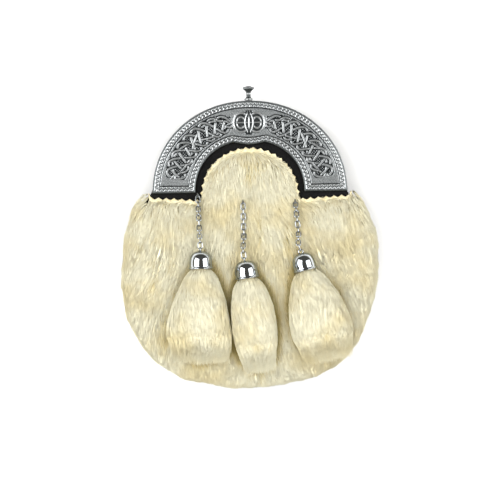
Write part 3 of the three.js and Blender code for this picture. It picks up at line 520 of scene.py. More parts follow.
# Bright grey where it is rubbed, near black in the recesses, and finely pitted all over.
PITS_MM = 0.8
antiqued, tree = new_material("zinc_casting_plated_and_antiqued")
worn = add_node(tree, "ShaderNodeAttribute", attribute_name="worn")
place = add_node(tree, "ShaderNodeTexCoord")
pits = add_node(tree, "ShaderNodeTexNoise", {
    "Vector": place.outputs["Object"], "Scale": 1 / (PITS_MM * MM), "Detail": 4})
pit_share = add_node(tree, "ShaderNodeMath", {0: pits.outputs["Fac"], 1: 0.5}, operation="SUBTRACT")
mottled = add_node(tree, "ShaderNodeMath", {
    0: pit_share.outputs[0], 1: 0.5, 2: worn.outputs["Fac"]}, operation="MULTIPLY_ADD")
wash = add_node(tree, "ShaderNodeValToRGB", {"Fac": mottled.outputs[0]})
set_stops(wash, (0.08, "#1E2021"), (0.55, "#858A8B"), (0.9, "#D2D5D6"))
polish = add_node(tree, "ShaderNodeMapRange", {
    "Value": worn.outputs["Fac"], "To Min": 0.6, "To Max": 0.3})
pitting = add_node(tree, "ShaderNodeBump", {
    "Height": pits.outputs["Fac"], "Strength": 0.25, "Distance": 0.08 * MM})
finish_material(tree, add_node(tree, "ShaderNodeBsdfPrincipled", {
    "Base Color": wash.outputs["Color"], "Metallic": 0.92, "Roughness": polish.outputs["Result"],
    "Normal": pitting.outputs["Normal"]}))

cantle_piece = new_object("cantle_casting", cantle_mesh(), antiqued)
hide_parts("cantle")
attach(cantle_piece, "root")


# Knob: the catch that the wearer presses. It is turned from bar, with a collar, a waist and a
# flared head with a button, pressed into the edge of the cantle and plated and antiqued with it.
PROUD_WEAR, GROOVE_WEAR = 0.8, 0.3
KNOB_PROFILE = [(0, 0), (3.0, 0), (3.3, 0.35), (3.3, 1.1), (3.0, 1.5), (2.1, 1.9), (1.75, 2.6),
                (1.7, 4.2), (2.0, 4.6), (2.0, 5.2), (1.75, 5.6), (2.1, 6.6), (3.1, 7.8),
                (4.3, 8.6), (4.65, 9.1), (4.6, 9.7), (4.0, 10.1), (2.6, 10.3), (2.0, 10.8),
                (1.0, 11.0), (0, 11.0)]


def turned(name, profile, sides, origin, axis):
    """A turned mesh: profile pairs are radius and distance along the axis, in mm."""
    work = bmesh.new()
    worn_layer = work.verts.layers.float.new("worn")
    radii = [r for r, _ in profile]
    rings = []
    for k, (radius, along) in enumerate(profile):
        turns = [2 * math.pi * s / sides for s in range(sides if radius else 1)]
        made = [work.verts.new((radius * MM * math.cos(t), radius * MM * math.sin(t), along * MM))
                for t in turns]
        near = radii[max(0, k - 1):k + 2]
        for vert in made:
            vert[worn_layer] = PROUD_WEAR if radius >= max(near) - 0.05 else GROOVE_WEAR
        rings.append(made)
    for low, high in zip(rings, rings[1:]):
        for s in range(sides):
            t = (s + 1) % sides
            if len(low) == 1:
                work.faces.new((low[0], high[t], high[s]))
            elif len(high) == 1:
                work.faces.new((low[s], low[t], high[0]))
            else:
                work.faces.new((low[s], low[t], high[t], high[s]))
    bmesh.ops.recalc_face_normals(work, faces=work.faces)
    turn = axis.to_track_quat("Z", "Y").to_matrix().to_4x4()
    work.transform(Matrix.Translation(origin) @ turn)
    return mesh_of(work, name)


knob_low, knob_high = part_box("cantle_knob")
knob_origin = Vector(((knob_low.x + knob_high.x) / 2, knob_low.y, (knob_low.z + knob_high.z) / 2))
knob = new_object("turned_knob", turned("turned_knob", KNOB_PROFILE, 40, knob_origin,
                                        Vector((0, 1, 0))), antiqued)
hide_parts("cantle_knob")
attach(knob, "root")


# Chains: cable chain of round brass wire, bent, soldered and chromed. Every second link stands
# on edge. The eyes that hold them go through the leather.
LINK_MM = {"length": 6.5, "width": 4.3, "wire": 1.0}
SMEAR_MM = 4

# A clean, dark mirror with faint smears in its gloss.
chrome, tree = new_material("brass_polished_and_chromed")
place = add_node(tree, "ShaderNodeTexCoord")
smear = add_node(tree, "ShaderNodeTexNoise", {
    "Vector": place.outputs["Object"], "Scale": 1 / (SMEAR_MM * MM), "Detail": 3})
smear_gloss = add_node(tree, "ShaderNodeMapRange", {
    "Value": smear.outputs["Fac"], "To Min": 0.05, "To Max": 0.13})
finish_material(tree, add_node(tree, "ShaderNodeBsdfPrincipled", {
    "Base Color": linear("#C3C8CB"), "Metallic": 1.0, "Specular Tint": linear("#9C9FA0"),
    "Roughness": smear_gloss.outputs["Result"]}))


def new_tree(name, **inputs):
    """A Geometry Nodes tree with its named inputs, as kind and value, and its input node."""
    tree = bpy.data.node_groups.new(name, "GeometryNodeTree")
    tree.interface.new_socket("Geometry", in_out="OUTPUT", socket_type="NodeSocketGeometry")
    for label, (kind, value) in {"Geometry": ("Geometry", None), **inputs}.items():
        socket = tree.interface.new_socket(label.replace("_", " "), in_out="INPUT",
                                           socket_type="NodeSocket" + kind)
        if value is not None:
            socket.default_value = value
    return tree, add_node(tree, "NodeGroupInput").outputs


def turned_by(tree, along, facing):
    """The turn that lays a thing along one attribute of its point, with its top to the other."""
    ways = [add_node(tree, "GeometryNodeInputNamedAttribute", {"Name": name},
                     data_type="FLOAT_VECTOR").outputs[0] for name in (along, facing)]
    return add_node(tree, "FunctionNodeAxesToRotation", {
        "Primary Axis": ways[0], "Secondary Axis": ways[1]},
        primary_axis="Y", secondary_axis="Z").outputs[0]


def finish_tree(tree, geometry, finish):
    """Ends a tree by setting its finish."""
    finished = add_node(tree, "GeometryNodeSetMaterial", {"Geometry": geometry, "Material": finish})
    add_node(tree, "NodeGroupOutput", {"Geometry": finished.outputs["Geometry"]})
    return tree


def link_tree():
    """Geometry Nodes: one round-wire link on every point, turned by the point's own attributes."""
    tree, given = new_tree("cable_chain", Finish=("Material", None), **{
        size.title(): ("Float", LINK_MM[size] * MM) for size in LINK_MM})
    halves = {}
    for name, whole, less in (("bend", "Width", "Wire"), ("straight", "Length", "Width")):
        difference = add_node(tree, "ShaderNodeMath", {0: given[whole], 1: given[less]},
                              operation="SUBTRACT")
        halves[name] = add_node(tree, "ShaderNodeMath", {0: difference.outputs[0], 1: 0.5},
                                operation="MULTIPLY").outputs[0]
    wire_radius = add_node(tree, "ShaderNodeMath", {0: given["Wire"], 1: 0.5}, operation="MULTIPLY")
    loop = add_node(tree, "GeometryNodeCurvePrimitiveCircle", {
        "Resolution": 26, "Radius": halves["bend"]})
    position = add_node(tree, "GeometryNodeInputPosition")
    parts = add_node(tree, "ShaderNodeSeparateXYZ", {0: position.outputs[0]})
    side = add_node(tree, "ShaderNodeMath", {0: parts.outputs["Y"]}, operation="SIGN")
    shift = add_node(tree, "ShaderNodeMath", {0: side.outputs[0], 1: halves["straight"]},
                     operation="MULTIPLY")
    offset = add_node(tree, "ShaderNodeCombineXYZ", {"Y": shift.outputs[0]})
    stadium = add_node(tree, "GeometryNodeSetPosition", {
        "Geometry": loop.outputs["Curve"], "Offset": offset.outputs[0]})
    section = add_node(tree, "GeometryNodeCurvePrimitiveCircle", {
        "Resolution": 8, "Radius": wire_radius.outputs[0]})
    wire = add_node(tree, "GeometryNodeCurveToMesh", {
        "Curve": stadium.outputs["Geometry"], "Profile Curve": section.outputs["Curve"]})
    placed = add_node(tree, "GeometryNodeInstanceOnPoints", {
        "Points": given["Geometry"], "Instance": wire.outputs["Mesh"],
        "Rotation": turned_by(tree, "along", "facing")})
    real = add_node(tree, "GeometryNodeRealizeInstances", {"Geometry": placed.outputs["Instances"]})
    return finish_tree(tree, real.outputs["Geometry"], given["Finish"])


def with_nodes(made, tree, values):
    """Adds a Geometry Nodes modifier, sets its inputs by their identifiers and bakes it."""
    modifier = made.modifiers.new(tree.name, "NODES")
    modifier.node_group = tree
    for item in tree.interface.items_tree:
        if item.in_out == "INPUT" and item.name in values:
            modifier[item.identifier] = values[item.name]
    return baked(made)


def read_points(mesh):
    """The points of a mesh, and its normals there."""
    points = np.zeros(len(mesh.vertices) * 3)
    mesh.vertices.foreach_get("co", points)
    normals = np.zeros(len(mesh.vertices) * 3)
    mesh.vertex_normals.foreach_get("vector", normals)
    return points.reshape(-1, 3), normals.reshape(-1, 3)


def cad_points(node):
    """The points of a CAD node."""
    return read_points(frame["nodes"][node].data)[0]


def axes_of(node):
    """Middle, long axis and flat axis of a link, from its own points."""
    points = cad_points(node)
    spread = np.cov((points - points.mean(0)).T)
    _, axes = np.linalg.eigh(spread)
    return (points.min(0) + points.max(0)) / 2, axes[:, 2], axes[:, 0]


def row_mesh(name, row):
    """A mesh of loose points, each with the way it lies along and the way it faces."""
    places, along, facing = (np.array(part) for part in zip(*row))
    mesh = bpy.data.meshes.new(name)
    mesh.from_pydata(places.tolist(), [], [])
    write_attribute(mesh, "along", along)
    write_attribute(mesh, "facing", facing)
    return mesh


chain_tree = link_tree()
for side in ("left", "middle", "right"):
    nodes = sorted(n for n in frame["nodes"] if n.startswith(side + "_link_"))
    mesh = row_mesh(side + "_chain", [axes_of(n) for n in nodes])
    chain = with_nodes(new_object(side + "_chain", mesh, chrome), chain_tree, {"Finish": chrome})
    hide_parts(*nodes)
    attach(chain, "root")
    eye = frame["nodes"]["chain_anchor_" + side]
    eye.data.materials.clear()
    eye.data.materials.append(chrome)


# Seams: saddle-stitched with waxed black linen thread, eight stitches to the inch. One row holds
# the gusset to the back, one holds it to the front, and one runs round the back's own edge.
STITCH_MM = {"pitch": 3.2, "length": 2.5, "width": 0.75}
SEAM_LEVELS_MM = (5.2, 20.6)  # of the two rows on the gusset, over the table
SEAM_INSET_MM = 4.5  # from the edge of the back to its row
ROW_BREAK_MM = 12  # a longer gap than this ends a row
TWIST_MM = 1.2  # drawn at twice its real size
BODY_CENTRE_Y_MM = -62  # the middle of the round body, from the feet of the cantle

# Matt near-black with a fine twist, so that the rows only show from close by.
thread, tree = new_material("linen_thread_waxed_black")
place = add_node(tree, "ShaderNodeTexCoord")
twist = add_node(tree, "ShaderNodeTexWave", {
    "Vector": place.outputs["Object"], "Scale": 1 / (TWIST_MM * MM), "Distortion": 1.0},
    bands_direction="DIAGONAL")
strands = add_node(tree, "ShaderNodeBump", {
    "Height": twist.outputs["Fac"], "Strength": 0.4, "Distance": 0.1 * MM})
thread_colour = add_node(tree, "ShaderNodeValToRGB", {"Fac": twist.outputs["Fac"]})
set_stops(thread_colour, (0, "#141312"), (1, "#2E2B28"))
finish_material(tree, add_node(tree, "ShaderNodeBsdfPrincipled", {
    "Base Color": thread_colour.outputs["Color"], "Roughness": 0.55,
    "Normal": strands.outputs["Normal"]}))


def stitch_tree():
    """Geometry Nodes: one rounded stitch, half sunk, on every point along the seam."""
    tree, given = new_tree("saddle_stitch", Length=("Float", STITCH_MM["length"] * MM),
                           Width=("Float", STITCH_MM["width"] * MM), Finish=("Material", None))
    ball = add_node(tree, "GeometryNodeMeshUVSphere", {"Segments": 6, "Rings": 4, "Radius": 0.5})
    size = add_node(tree, "ShaderNodeCombineXYZ", {
        "X": given["Width"], "Y": given["Length"], "Z": given["Width"]})
    placed = add_node(tree, "GeometryNodeInstanceOnPoints", {
        "Points": given["Geometry"], "Instance": ball.outputs["Mesh"],
        "Rotation": turned_by(tree, "along", "facing"), "Scale": size.outputs[0]})
    real = add_node(tree, "GeometryNodeRealizeInstances", {"Geometry": placed.outputs["Instances"]})
    return finish_tree(tree, real.outputs["Geometry"], given["Finish"])


def seam_row(surface, starts, ways):
    """Evenly spaced stitches where rays meet a leather surface."""
    hits = [surface.ray_cast(start, way)[:2] for start, way in zip(starts, ways)]
    rows, row = [], []
    for place, out in hits + [(None, None)]:
        if place is None or (row and (place - row[-1][0]).length > ROW_BREAK_MM * MM):
            rows.append(row)
            row = []
        if place is not None:
            row.append((place, out))
    made = []
    for row in rows:
        if len(row) < 4:
            continue
        path, out = (np.array(part) for part in zip(*row))
        run = np.concatenate([[0], np.cumsum(np.linalg.norm(np.diff(path, axis=0), axis=1))])
        stops = np.arange(0.5, run[-1] / (STITCH_MM["pitch"] * MM)) * STITCH_MM["pitch"] * MM
        at, before, after = (np.stack([np.interp(stops + step * MM, run, path[:, k])
                                       for k in range(3)], axis=1) for step in (0, -1, 1))
        facing = np.stack([np.interp(stops, run, out[:, k]) for k in range(3)], axis=1)
        made += zip(at, after - before, facing)
    return made


def radial(turn):
    """The level way out at a turn from the right."""
    return Vector((math.cos(turn), math.sin(turn), 0))


seam_centre = FEET + Vector((0, BODY_CENTRE_Y_MM * MM, 0))
surfaces = {n: BVHTree.FromObject(bpy.data.objects[n], bpy.context.evaluated_depsgraph_get())
            for n in ("leather_gusset", "leather_back")}
stitches = []
turns = [math.radians(d) for d in np.arange(-215, 35.1, 0.5)]
for level in SEAM_LEVELS_MM:
    stitches += seam_row(surfaces["leather_gusset"],
                         [seam_centre + radial(t) * 0.2 + Vector((0, 0, level * MM)) for t in turns],
                         [-radial(t) for t in turns])
back_points, _ = read_points(bpy.data.objects["leather_back"].data)
from_centre = back_points - np.array(seam_centre)
back_turn = np.arctan2(from_centre[:, 1], from_centre[:, 0])
back_reach = np.hypot(from_centre[:, 1], from_centre[:, 0])
turns = np.radians(np.arange(-180, 180.1, 0.75))
turned_away = [np.abs((back_turn - t + np.pi) % (2 * np.pi) - np.pi) for t in turns]
reaches = [back_reach[a < 0.12].max() - SEAM_INSET_MM * MM for a in turned_away]
stitches += seam_row(surfaces["leather_back"],
                     [seam_centre + radial(t) * r + Vector((0, 0, -0.05))
                      for t, r in zip(turns, reaches)],
                     [Vector((0, 0, 1))] * len(turns))
seams = with_nodes(new_object("seam_stitches", row_mesh("seam_stitches", stitches), thread),
                   stitch_tree(), {"Finish": thread})
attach(seams, "root")


# Bell caps: spun brass domes with a rolled lip, polished and chromed, each with a soldered ring.
# The lip is open and the fur of the tassel is glued inside it.
TASSELS = {"left": {"lean": 1.0}, "middle": {"lean": 8.0}, "right": {"lean": 14.0}}
CAP_MM = {"height": 13.5, "radius": 8.7, "lip": 9.35, "wall": 0.8, "skirt": 3.0}
CAP_POWER = 2.7  # over 2, which would be round, for a fuller dome
RING_MM = {"radius": 1.75, "wire": 1.0, "over_cap": 1.2}


def cap_profile():
    """Up the inside from the crown to the lip, and over the outside back to the crown."""
    height, radius, lip, wall, skirt = CAP_MM.values()
    turns = [math.radians(90 - 90 * k / 13) for k in range(14)]
    full = 2 / CAP_POWER
    inside, outside = ([((radius - less) * math.cos(t) ** full,
                         skirt + (height - skirt - less) * math.sin(t) ** full) for t in turns]
                       for less in (wall, 0))
    rolled = [(radius - wall, 0.3), (radius - 0.2, 0.0), (lip - 0.3, 0.0), (lip, 0.35),
              (lip, 0.75), (lip - 0.3, 1.1), (radius + 0.05, 1.5), (radius, 2.2)]
    inside[0] = (0, inside[0][1])
    outside[0] = (0, outside[0][1])
    return inside + rolled + outside[::-1]


def ring_mesh(centre, normal):
    """A soldered wire ring."""
    work = bmesh.new()
    steps, sides = 28, 8
    half_wire = RING_MM["wire"] / 2 * MM
    rounds = [radial(2 * math.pi * s / sides) * half_wire for s in range(sides)]
    loops = []
    for k in range(steps):
        out = radial(2 * math.pi * k / steps)
        loops.append([work.verts.new(out * (RING_MM["radius"] * MM + r.x) + Vector((0, 0, r.y)))
                      for r in rounds])
    for loop, after in zip(loops, loops[1:] + loops[:1]):
        for s in range(sides):
            t = (s + 1) % sides
            work.faces.new((loop[s], after[s], after[t], loop[t]))
    bmesh.ops.recalc_face_normals(work, faces=work.faces)
    work.transform(Matrix.Translation(centre) @ normal.to_track_quat("Z", "Y").to_matrix().to_4x4())
    return mesh_of(work, "ring")


def joined(name, meshes, material):
    """One piece from several meshes."""
    work = bmesh.new()
    for mesh in meshes:
        work.from_mesh(mesh)
    return new_object(name, mesh_of(work, name), material)


for side, tassel in TASSELS.items():
    points = cad_points("tassel_cap_" + side)
    lean = math.radians(tassel["lean"])
    up = np.array([-math.sin(lean), math.cos(lean), 0])
    right = np.array([math.cos(lean), math.sin(lean), 0])
    along, sideways = points @ up, points @ right
    level = (points[:, 2].min() + points[:, 2].max()) / 2
    lip = up * along.min() + right * (sideways.min() + sideways.max()) / 2
    tassel["lip"] = Vector((lip[0], lip[1], level))
    tassel["up"] = Vector(up)
    ring_at = tassel["lip"] + tassel["up"] * (CAP_MM["height"] + RING_MM["over_cap"]) * MM
    last_link = max(n for n in frame["nodes"] if n.startswith(side + "_link_"))
    ring_axis = tassel["up"].cross(Vector(axes_of(last_link)[2])).normalized()
    cap = joined(side + "_bell_cap", [
        turned("bell", cap_profile(), 64, tassel["lip"], tassel["up"]),
        ring_mesh(ring_at, ring_axis)], chrome)
    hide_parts("tassel_cap_" + side)
    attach(cap, "root")


# Fur of the front: a dressed cream rabbit skin, sewn over the front with its hair laid downwards.
# The bare hide shows only at its pinked edge. Soft hair, up to 20 mm long, covers all the rest. A
# wisp stands for a lock of some tens of hairs, because single hairs are too fine to draw.
WISP_MM = 20
NAP_MM = 3
PATCH_MM = 30  # the coat is a little yellower here and there, in patches this wide

# Pale matt skin with a soft nap and a dusty sheen.
hide, tree = new_material("dressed_rabbit_hide")
place = add_node(tree, "ShaderNodeTexCoord")
nap = add_node(tree, "ShaderNodeTexNoise", {
    "Vector": place.outputs["Object"], "Scale": 1 / (NAP_MM * MM), "Detail": 4})
nap_colour = add_node(tree, "ShaderNodeValToRGB", {"Fac": nap.outputs["Fac"]})
set_stops(nap_colour, (0.3, "#D6C697"), (0.7, "#E8DFBC"))
nap_relief = add_node(tree, "ShaderNodeBump", {
    "Height": nap.outputs["Fac"], "Strength": 0.4, "Distance": 0.4 * MM})
finish_material(tree, add_node(tree, "ShaderNodeBsdfPrincipled", {
    "Base Color": nap_colour.outputs["Color"], "Roughness": 0.9, "Specular IOR Level": 0.2,
    "Sheen Weight": 0.3, "Normal": nap_relief.outputs["Normal"]}))

# Cream tips over darker, warmer roots, which are partly the hair's own colour and partly painted
# shade deep in the coat. Partings show more of the root, and painted shade beside the tassels, in the
# partings and at the tassels' ends darkens it further. Where no hair lies over the roots, at thin
# edges, they are painted pale. The light on it follows the coat and not the single wisp.
fur, tree = new_material("rabbit_hair_bleached_cream")
own = {name: add_node(tree, "ShaderNodeAttribute", attribute_name=name)
       for name in ("tip", "pale", "parting", "shaded", "tone", "lit")}
run = add_node(tree, "ShaderNodeMath", {0: own["tip"].outputs["Fac"], 1: own["pale"].outputs["Fac"]},
               operation="ADD")
for name, weight in (("parting", -0.5), ("shaded", -1.0)):
    run = add_node(tree, "ShaderNodeMath", {
        0: own[name].outputs["Fac"], 1: weight, 2: run.outputs[0]}, operation="MULTIPLY_ADD")
ramp_at = add_node(tree, "ShaderNodeMapRange", {
    "Value": run.outputs[0], "From Min": -0.6, "From Max": 1.0})
hair_ramp = add_node(tree, "ShaderNodeValToRGB", {"Fac": ramp_at.outputs["Result"]})
# The first stop is painted shade, the second the roots, partly painted shade, and the last the tips.
set_stops(hair_ramp, (0, "#AC9C66"), (0.375, "#E5D7A9"), (0.64, "#F3EDD2"))
place = add_node(tree, "ShaderNodeTexCoord")
patch = add_node(tree, "ShaderNodeTexNoise", {
    "Vector": place.outputs["Object"], "Scale": 1 / (PATCH_MM * MM), "Detail": 3})
tint = add_node(tree, "ShaderNodeValToRGB", {"Fac": patch.outputs["Fac"]})
set_stops(tint, (0.34, "#F6EED6"), (0.56, "#FFFFFA"))
tinted = add_node(tree, "ShaderNodeMixRGB", {
    "Fac": 1.0, "Color1": hair_ramp.outputs["Color"], "Color2": tint.outputs["Color"]},
    blend_type="MULTIPLY")
strand_tone = add_node(tree, "ShaderNodeMapRange", {
    "Value": own["tone"].outputs["Fac"], "To Min": 0.95, "To Max": 1.01})
toned = add_node(tree, "ShaderNodeVectorMath", {
    0: tinted.outputs["Color"], "Scale": strand_tone.outputs["Result"]}, operation="SCALE")
surface = add_node(tree, "ShaderNodeNewGeometry")
own_share = add_node(tree, "ShaderNodeVectorMath", {0: surface.outputs["Normal"], "Scale": 0.04},
                     operation="SCALE")
soft_normal = add_node(tree, "ShaderNodeVectorMath", {
    0: own_share.outputs["Vector"], 1: own["lit"].outputs["Vector"]}, operation="ADD")
unit_normal = add_node(tree, "ShaderNodeVectorMath", {0: soft_normal.outputs["Vector"]},
                       operation="NORMALIZE")
finish_material(tree, add_node(tree, "ShaderNodeBsdfPrincipled", {
    "Base Color": toned.outputs["Vector"], "Roughness": 0.8, "Specular IOR Level": 0.2,
    "Sheen Weight": 0.12, "Sheen Roughness": 0.5, "Sheen Tint": linear("#FFFDF2"),
    "Normal": unit_normal.outputs["Vector"]}))


def wisp_object(name, radius_mm, lift_mm, curl, shares):
    """One wisp of hair: a flat three-sided spike. Its height above the skin is an attribute."""
    work = bmesh.new()
    tip_layer = work.verts.layers.float.new("tip")
    height_layer = work.verts.layers.float.new("height")
    flatness, sunk, arch = 0.3, 0.1 * MM, 2.6
    rings = []
    for share in (*shares, 1.0):
        centre = Vector((curl * math.sin(share * 4) * 0.6, share, 0)) * (WISP_MM * MM)
        size = radius_mm * MM * (0.8 + 0.5 * share - 1.1 * share ** 2) if share < 1 else 0
        ring = []
        for s in range(3 if size else 1):
            turn = 2 * math.pi * s / 3 + math.pi / 2
            out = Vector((math.cos(turn), 0, math.sin(turn) * flatness)) * size
            vert = work.verts.new(centre + out)
            vert[tip_layer] = share
            vert[height_layer] = lift_mm * MM * math.sin(share * arch) + vert.co.z - sunk
            ring.append(vert)
        rings.append(ring)
    work.faces.new(rings[0][::-1])
    for low, high in zip(rings, rings[1:]):
        for s in range(3):
            t = (s + 1) % 3
            work.faces.new((low[s], low[t], high[t], high[s]) if len(high) == 3
                           else (low[s], low[t], high[0]))
    bmesh.ops.recalc_face_normals(work, faces=work.faces)
    return bpy.data.objects.new(name, mesh_of(work, name))


def fur_tree():
    """Geometry Nodes: wisps scattered over a skin, laid along its own flow and cut to its length."""
    tree, given = new_tree(
        "laid_fur", Wisp=("Object", None), Wisps_per_m2=("Float", None),
        Length_spread=("Float", None), Stray=("Float", None), Seed=("Int", None),
        Lay_on=("Object", None), Raise=("Float", None), Finish=("Material", None))
    named = {name: add_node(tree, "GeometryNodeInputNamedAttribute", {"Name": name},
                            data_type="FLOAT").outputs[0]
             for name in ("cover", "hair", "height", "tip", "raised", "free", "hollow")}
    density = add_node(tree, "ShaderNodeMath", {0: named["cover"], 1: given["Wisps per m2"]},
                       operation="MULTIPLY")
    roots = add_node(tree, "GeometryNodeDistributePointsOnFaces", {
        "Mesh": given["Geometry"], "Density": density.outputs[0], "Seed": given["Seed"]},
        distribute_method="RANDOM")
    most_stray = Vector((0.22, 1.0, 0.8))
    stray_low, stray_high = (add_node(tree, "ShaderNodeVectorMath", {
        0: most_stray * way, "Scale": given["Stray"]}, operation="SCALE") for way in (-1, 1))
    jitter = add_node(tree, "FunctionNodeRandomValue", {
        "Min": stray_low.outputs[0], "Max": stray_high.outputs[0], "Seed": 3},
        data_type="FLOAT_VECTOR")
    as_turn = add_node(tree, "FunctionNodeEulerToRotation", {0: jitter.outputs[0]})
    turned_wisp = add_node(tree, "FunctionNodeRotateRotation", {
        0: turned_by(tree, "flow", "upward"), 1: as_turn.outputs[0]}, rotation_space="LOCAL")
    shortest, longest = (add_node(tree, "ShaderNodeMath", {0: 1.0, 1: given["Length spread"]},
                                  operation=way) for way in ("SUBTRACT", "ADD"))
    spread = add_node(tree, "FunctionNodeRandomValue", {
        2: shortest.outputs[0], 3: longest.outputs[0], "Seed": 5}, data_type="FLOAT")
    length = add_node(tree, "ShaderNodeMath", {0: named["hair"], 1: spread.outputs[1]},
                      operation="MULTIPLY")
    size = add_node(tree, "ShaderNodeCombineXYZ", {
        "X": 1.0, "Y": length.outputs[0], "Z": length.outputs[0]})
    wisp = add_node(tree, "GeometryNodeObjectInfo", {0: given["Wisp"]})
    grown = add_node(tree, "GeometryNodeInstanceOnPoints", {
        "Points": roots.outputs["Points"], "Instance": wisp.outputs["Geometry"],
        "Rotation": turned_wisp.outputs[0], "Scale": size.outputs[0]}).outputs["Instances"]
    for name, most, seed in (("tone", 1.0, 9), ("raised", given["Raise"], 12)):
        chance = add_node(tree, "FunctionNodeRandomValue", {2: 0.0, 3: most, "Seed": seed},
                          data_type="FLOAT")
        grown = add_node(tree, "GeometryNodeStoreNamedAttribute", {
            "Geometry": grown, "Name": name, "Value": chance.outputs[1]},
            data_type="FLOAT", domain="INSTANCE").outputs["Geometry"]
    real = add_node(tree, "GeometryNodeRealizeInstances", {"Geometry": grown})

    # Each wisp is pressed on to the skin under it, at its own height, so it follows every curve.
    skin = add_node(tree, "GeometryNodeObjectInfo", {0: given["Lay on"]})
    nearest = add_node(tree, "GeometryNodeProximity", {0: skin.outputs["Geometry"]},
                       target_element="FACES")
    upward = add_node(tree, "GeometryNodeInputNamedAttribute", {"Name": "upward"},
                      data_type="FLOAT_VECTOR")
    skin_normal = add_node(tree, "GeometryNodeSampleNearestSurface", {
        "Mesh": skin.outputs["Geometry"], "Value": upward.outputs[0]}, data_type="FLOAT_VECTOR")
    lifted = add_node(tree, "ShaderNodeMath", {
        0: named["tip"], 1: named["raised"], 2: named["height"]}, operation="MULTIPLY_ADD")
    above = add_node(tree, "ShaderNodeVectorMath", {
        0: skin_normal.outputs["Value"], "Scale": lifted.outputs[0]}, operation="SCALE")
    pressed_at = add_node(tree, "ShaderNodeVectorMath", {
        0: nearest.outputs["Position"], 1: above.outputs[0]}, operation="ADD")
    freed = add_node(tree, "ShaderNodeMath", {0: named["free"], 1: named["tip"]},
                     operation="MULTIPLY")
    as_grown = add_node(tree, "GeometryNodeInputPosition")
    hung = add_node(tree, "ShaderNodeMix", {
        "Factor": freed.outputs[0], 4: pressed_at.outputs[0], 5: as_grown.outputs[0]},
        data_type="VECTOR")
    pressed = add_node(tree, "GeometryNodeSetPosition", {
        "Geometry": real.outputs["Geometry"], "Position": hung.outputs[1]})

    # Hair takes the skin's painted shade where it lies, not where it grows.
    painted_shade_here = add_node(tree, "GeometryNodeSampleNearestSurface", {
        "Mesh": skin.outputs["Geometry"], "Value": named["hollow"]}, data_type="FLOAT")
    shaded = add_node(tree, "GeometryNodeStoreNamedAttribute", {
        "Geometry": pressed.outputs["Geometry"], "Name": "shaded",
        "Value": painted_shade_here.outputs["Value"]}, data_type="FLOAT", domain="POINT")
    return finish_tree(tree, shaded.outputs["Geometry"], given["Finish"])


def move_points(mesh, points):
    """Moves every point of a mesh."""
    mesh.vertices.foreach_set("co", points.reshape(-1))
    mesh.update()


ROOT_DEPTH_MM = 0.4


def root_skin(name, node, voxel_mm, passes):
    """An even, softened copy of a CAD fur body, just under its surface, to root the hair in."""
    mesh = frame["nodes"][node].data.copy()
    made = new_object(name, mesh, hide)
    work = bmesh.new()
    work.from_mesh(mesh)
    bmesh.ops.remove_doubles(work, verts=work.verts, dist=0.001 * MM)
    work.to_mesh(mesh)
    work.free()
    even = made.modifiers.new("even", "REMESH")
    even.mode = "VOXEL"
    even.voxel_size = voxel_mm * MM
    soft = made.modifiers.new("soft", "SMOOTH")
    soft.factor = 0.5
    soft.iterations = passes
    made = baked(made)
    points, normals = read_points(made.data)
    points -= normals * ROOT_DEPTH_MM * MM
    move_points(made.data, points)
    return made, points, normals


def swirl(points, scale_mm, seed):
    """A smooth, repeatable vector noise at each point. The seed fixes where the noise starts."""
    noise.seed_set(seed)
    return np.array([tuple(noise.noise_vector(Vector(p) / (scale_mm * MM))) for p in points])


def lit_normals(normals):
    """Hair passes light on, so a coat is shaded as if it faced up more than it does."""
    lit = normals.copy()
    lit[:, 2] = np.maximum(lit[:, 2], 0) + 0.4
    return lit / np.linalg.norm(lit, axis=1)[:, None]


def along_skin(flow, normals):
    """A flow laid flat on the skin, of unit length."""
    flow = flow - normals * np.sum(flow * normals, axis=1)[:, None]
    return flow / (np.linalg.norm(flow, axis=1)[:, None] + 1e-9)


def lay_fur(name, skin, attributes, lay_on, layers):
    """Grows each layer of wisps on a root skin, and then drops the skin."""
    for attribute, values in attributes.items():
        write_attribute(skin.data, attribute, values)
    for index, layer in enumerate(layers):
        piece = new_object(f"{name}_{index + 1}", skin.data.copy(), fur)
        piece = with_nodes(piece, laid_fur, {
            "Wisp": layer["wisp"], "Wisps per m2": layer["per_mm2"] * 1e6,
            "Length spread": layer["spread"], "Stray": layer["stray"], "Lay on": lay_on,
            "Raise": layer["raise_mm"] * MM, "Seed": layer["seed"], "Finish": fur})
        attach(piece, "root")
    if lay_on is not skin:
        bpy.data.objects.remove(lay_on)
    bpy.data.objects.remove(skin)


laid_fur = fur_tree()
top_wisp = wisp_object("top_wisp", 0.28, 0.6, 0.06, (0.0, 0.35, 0.7))
under_wisp = wisp_object("under_wisp", 0.4, 0.4, -0.06, (0.0, 0.5))

# The pinked edge runs round a tongue at the top and level along a shoulder on either side of it.
TONGUE = {"radius": 38.8, "centre_y": -3.5}
SHOULDER = {"across": (40.6, 76.5), "up": (-4.6, -2.3), "end": 79}
FAR_MM = 99.0


def from_feet(points):
    """Points in mm, measured from the feet of the cantle."""
    return (points - np.array(FEET)) / MM


def pinking_distance(points):
    """How far in mm each point is from the pinked edge at the top, and the way out to it."""
    local = from_feet(points)
    way = local - np.array([0, TONGUE["centre_y"], 0])
    way[:, 2] = 0
    from_tongue = TONGUE["radius"] - np.hypot(way[:, 0], way[:, 1])
    across = np.abs(local[:, 0])
    from_shoulder = np.interp(across, SHOULDER["across"], SHOULDER["up"]) - local[:, 1]
    way /= np.linalg.norm(way, axis=1)[:, None] + 1e-9
    way = np.where((from_tongue > from_shoulder)[:, None], way, np.array([0.0, 1.0, 0.0]))
    distance = np.maximum(from_tongue, from_shoulder)
    return np.where(across < SHOULDER["end"], distance, FAR_MM), way


def turn_and_reach(points):
    """Where points lie round the middle of the body: their turn, and their distance in mm."""
    local = from_feet(points)
    up = local[:, 1] - BODY_CENTRE_Y_MM
    return np.arctan2(up, local[:, 0]), np.hypot(local[:, 0], up)


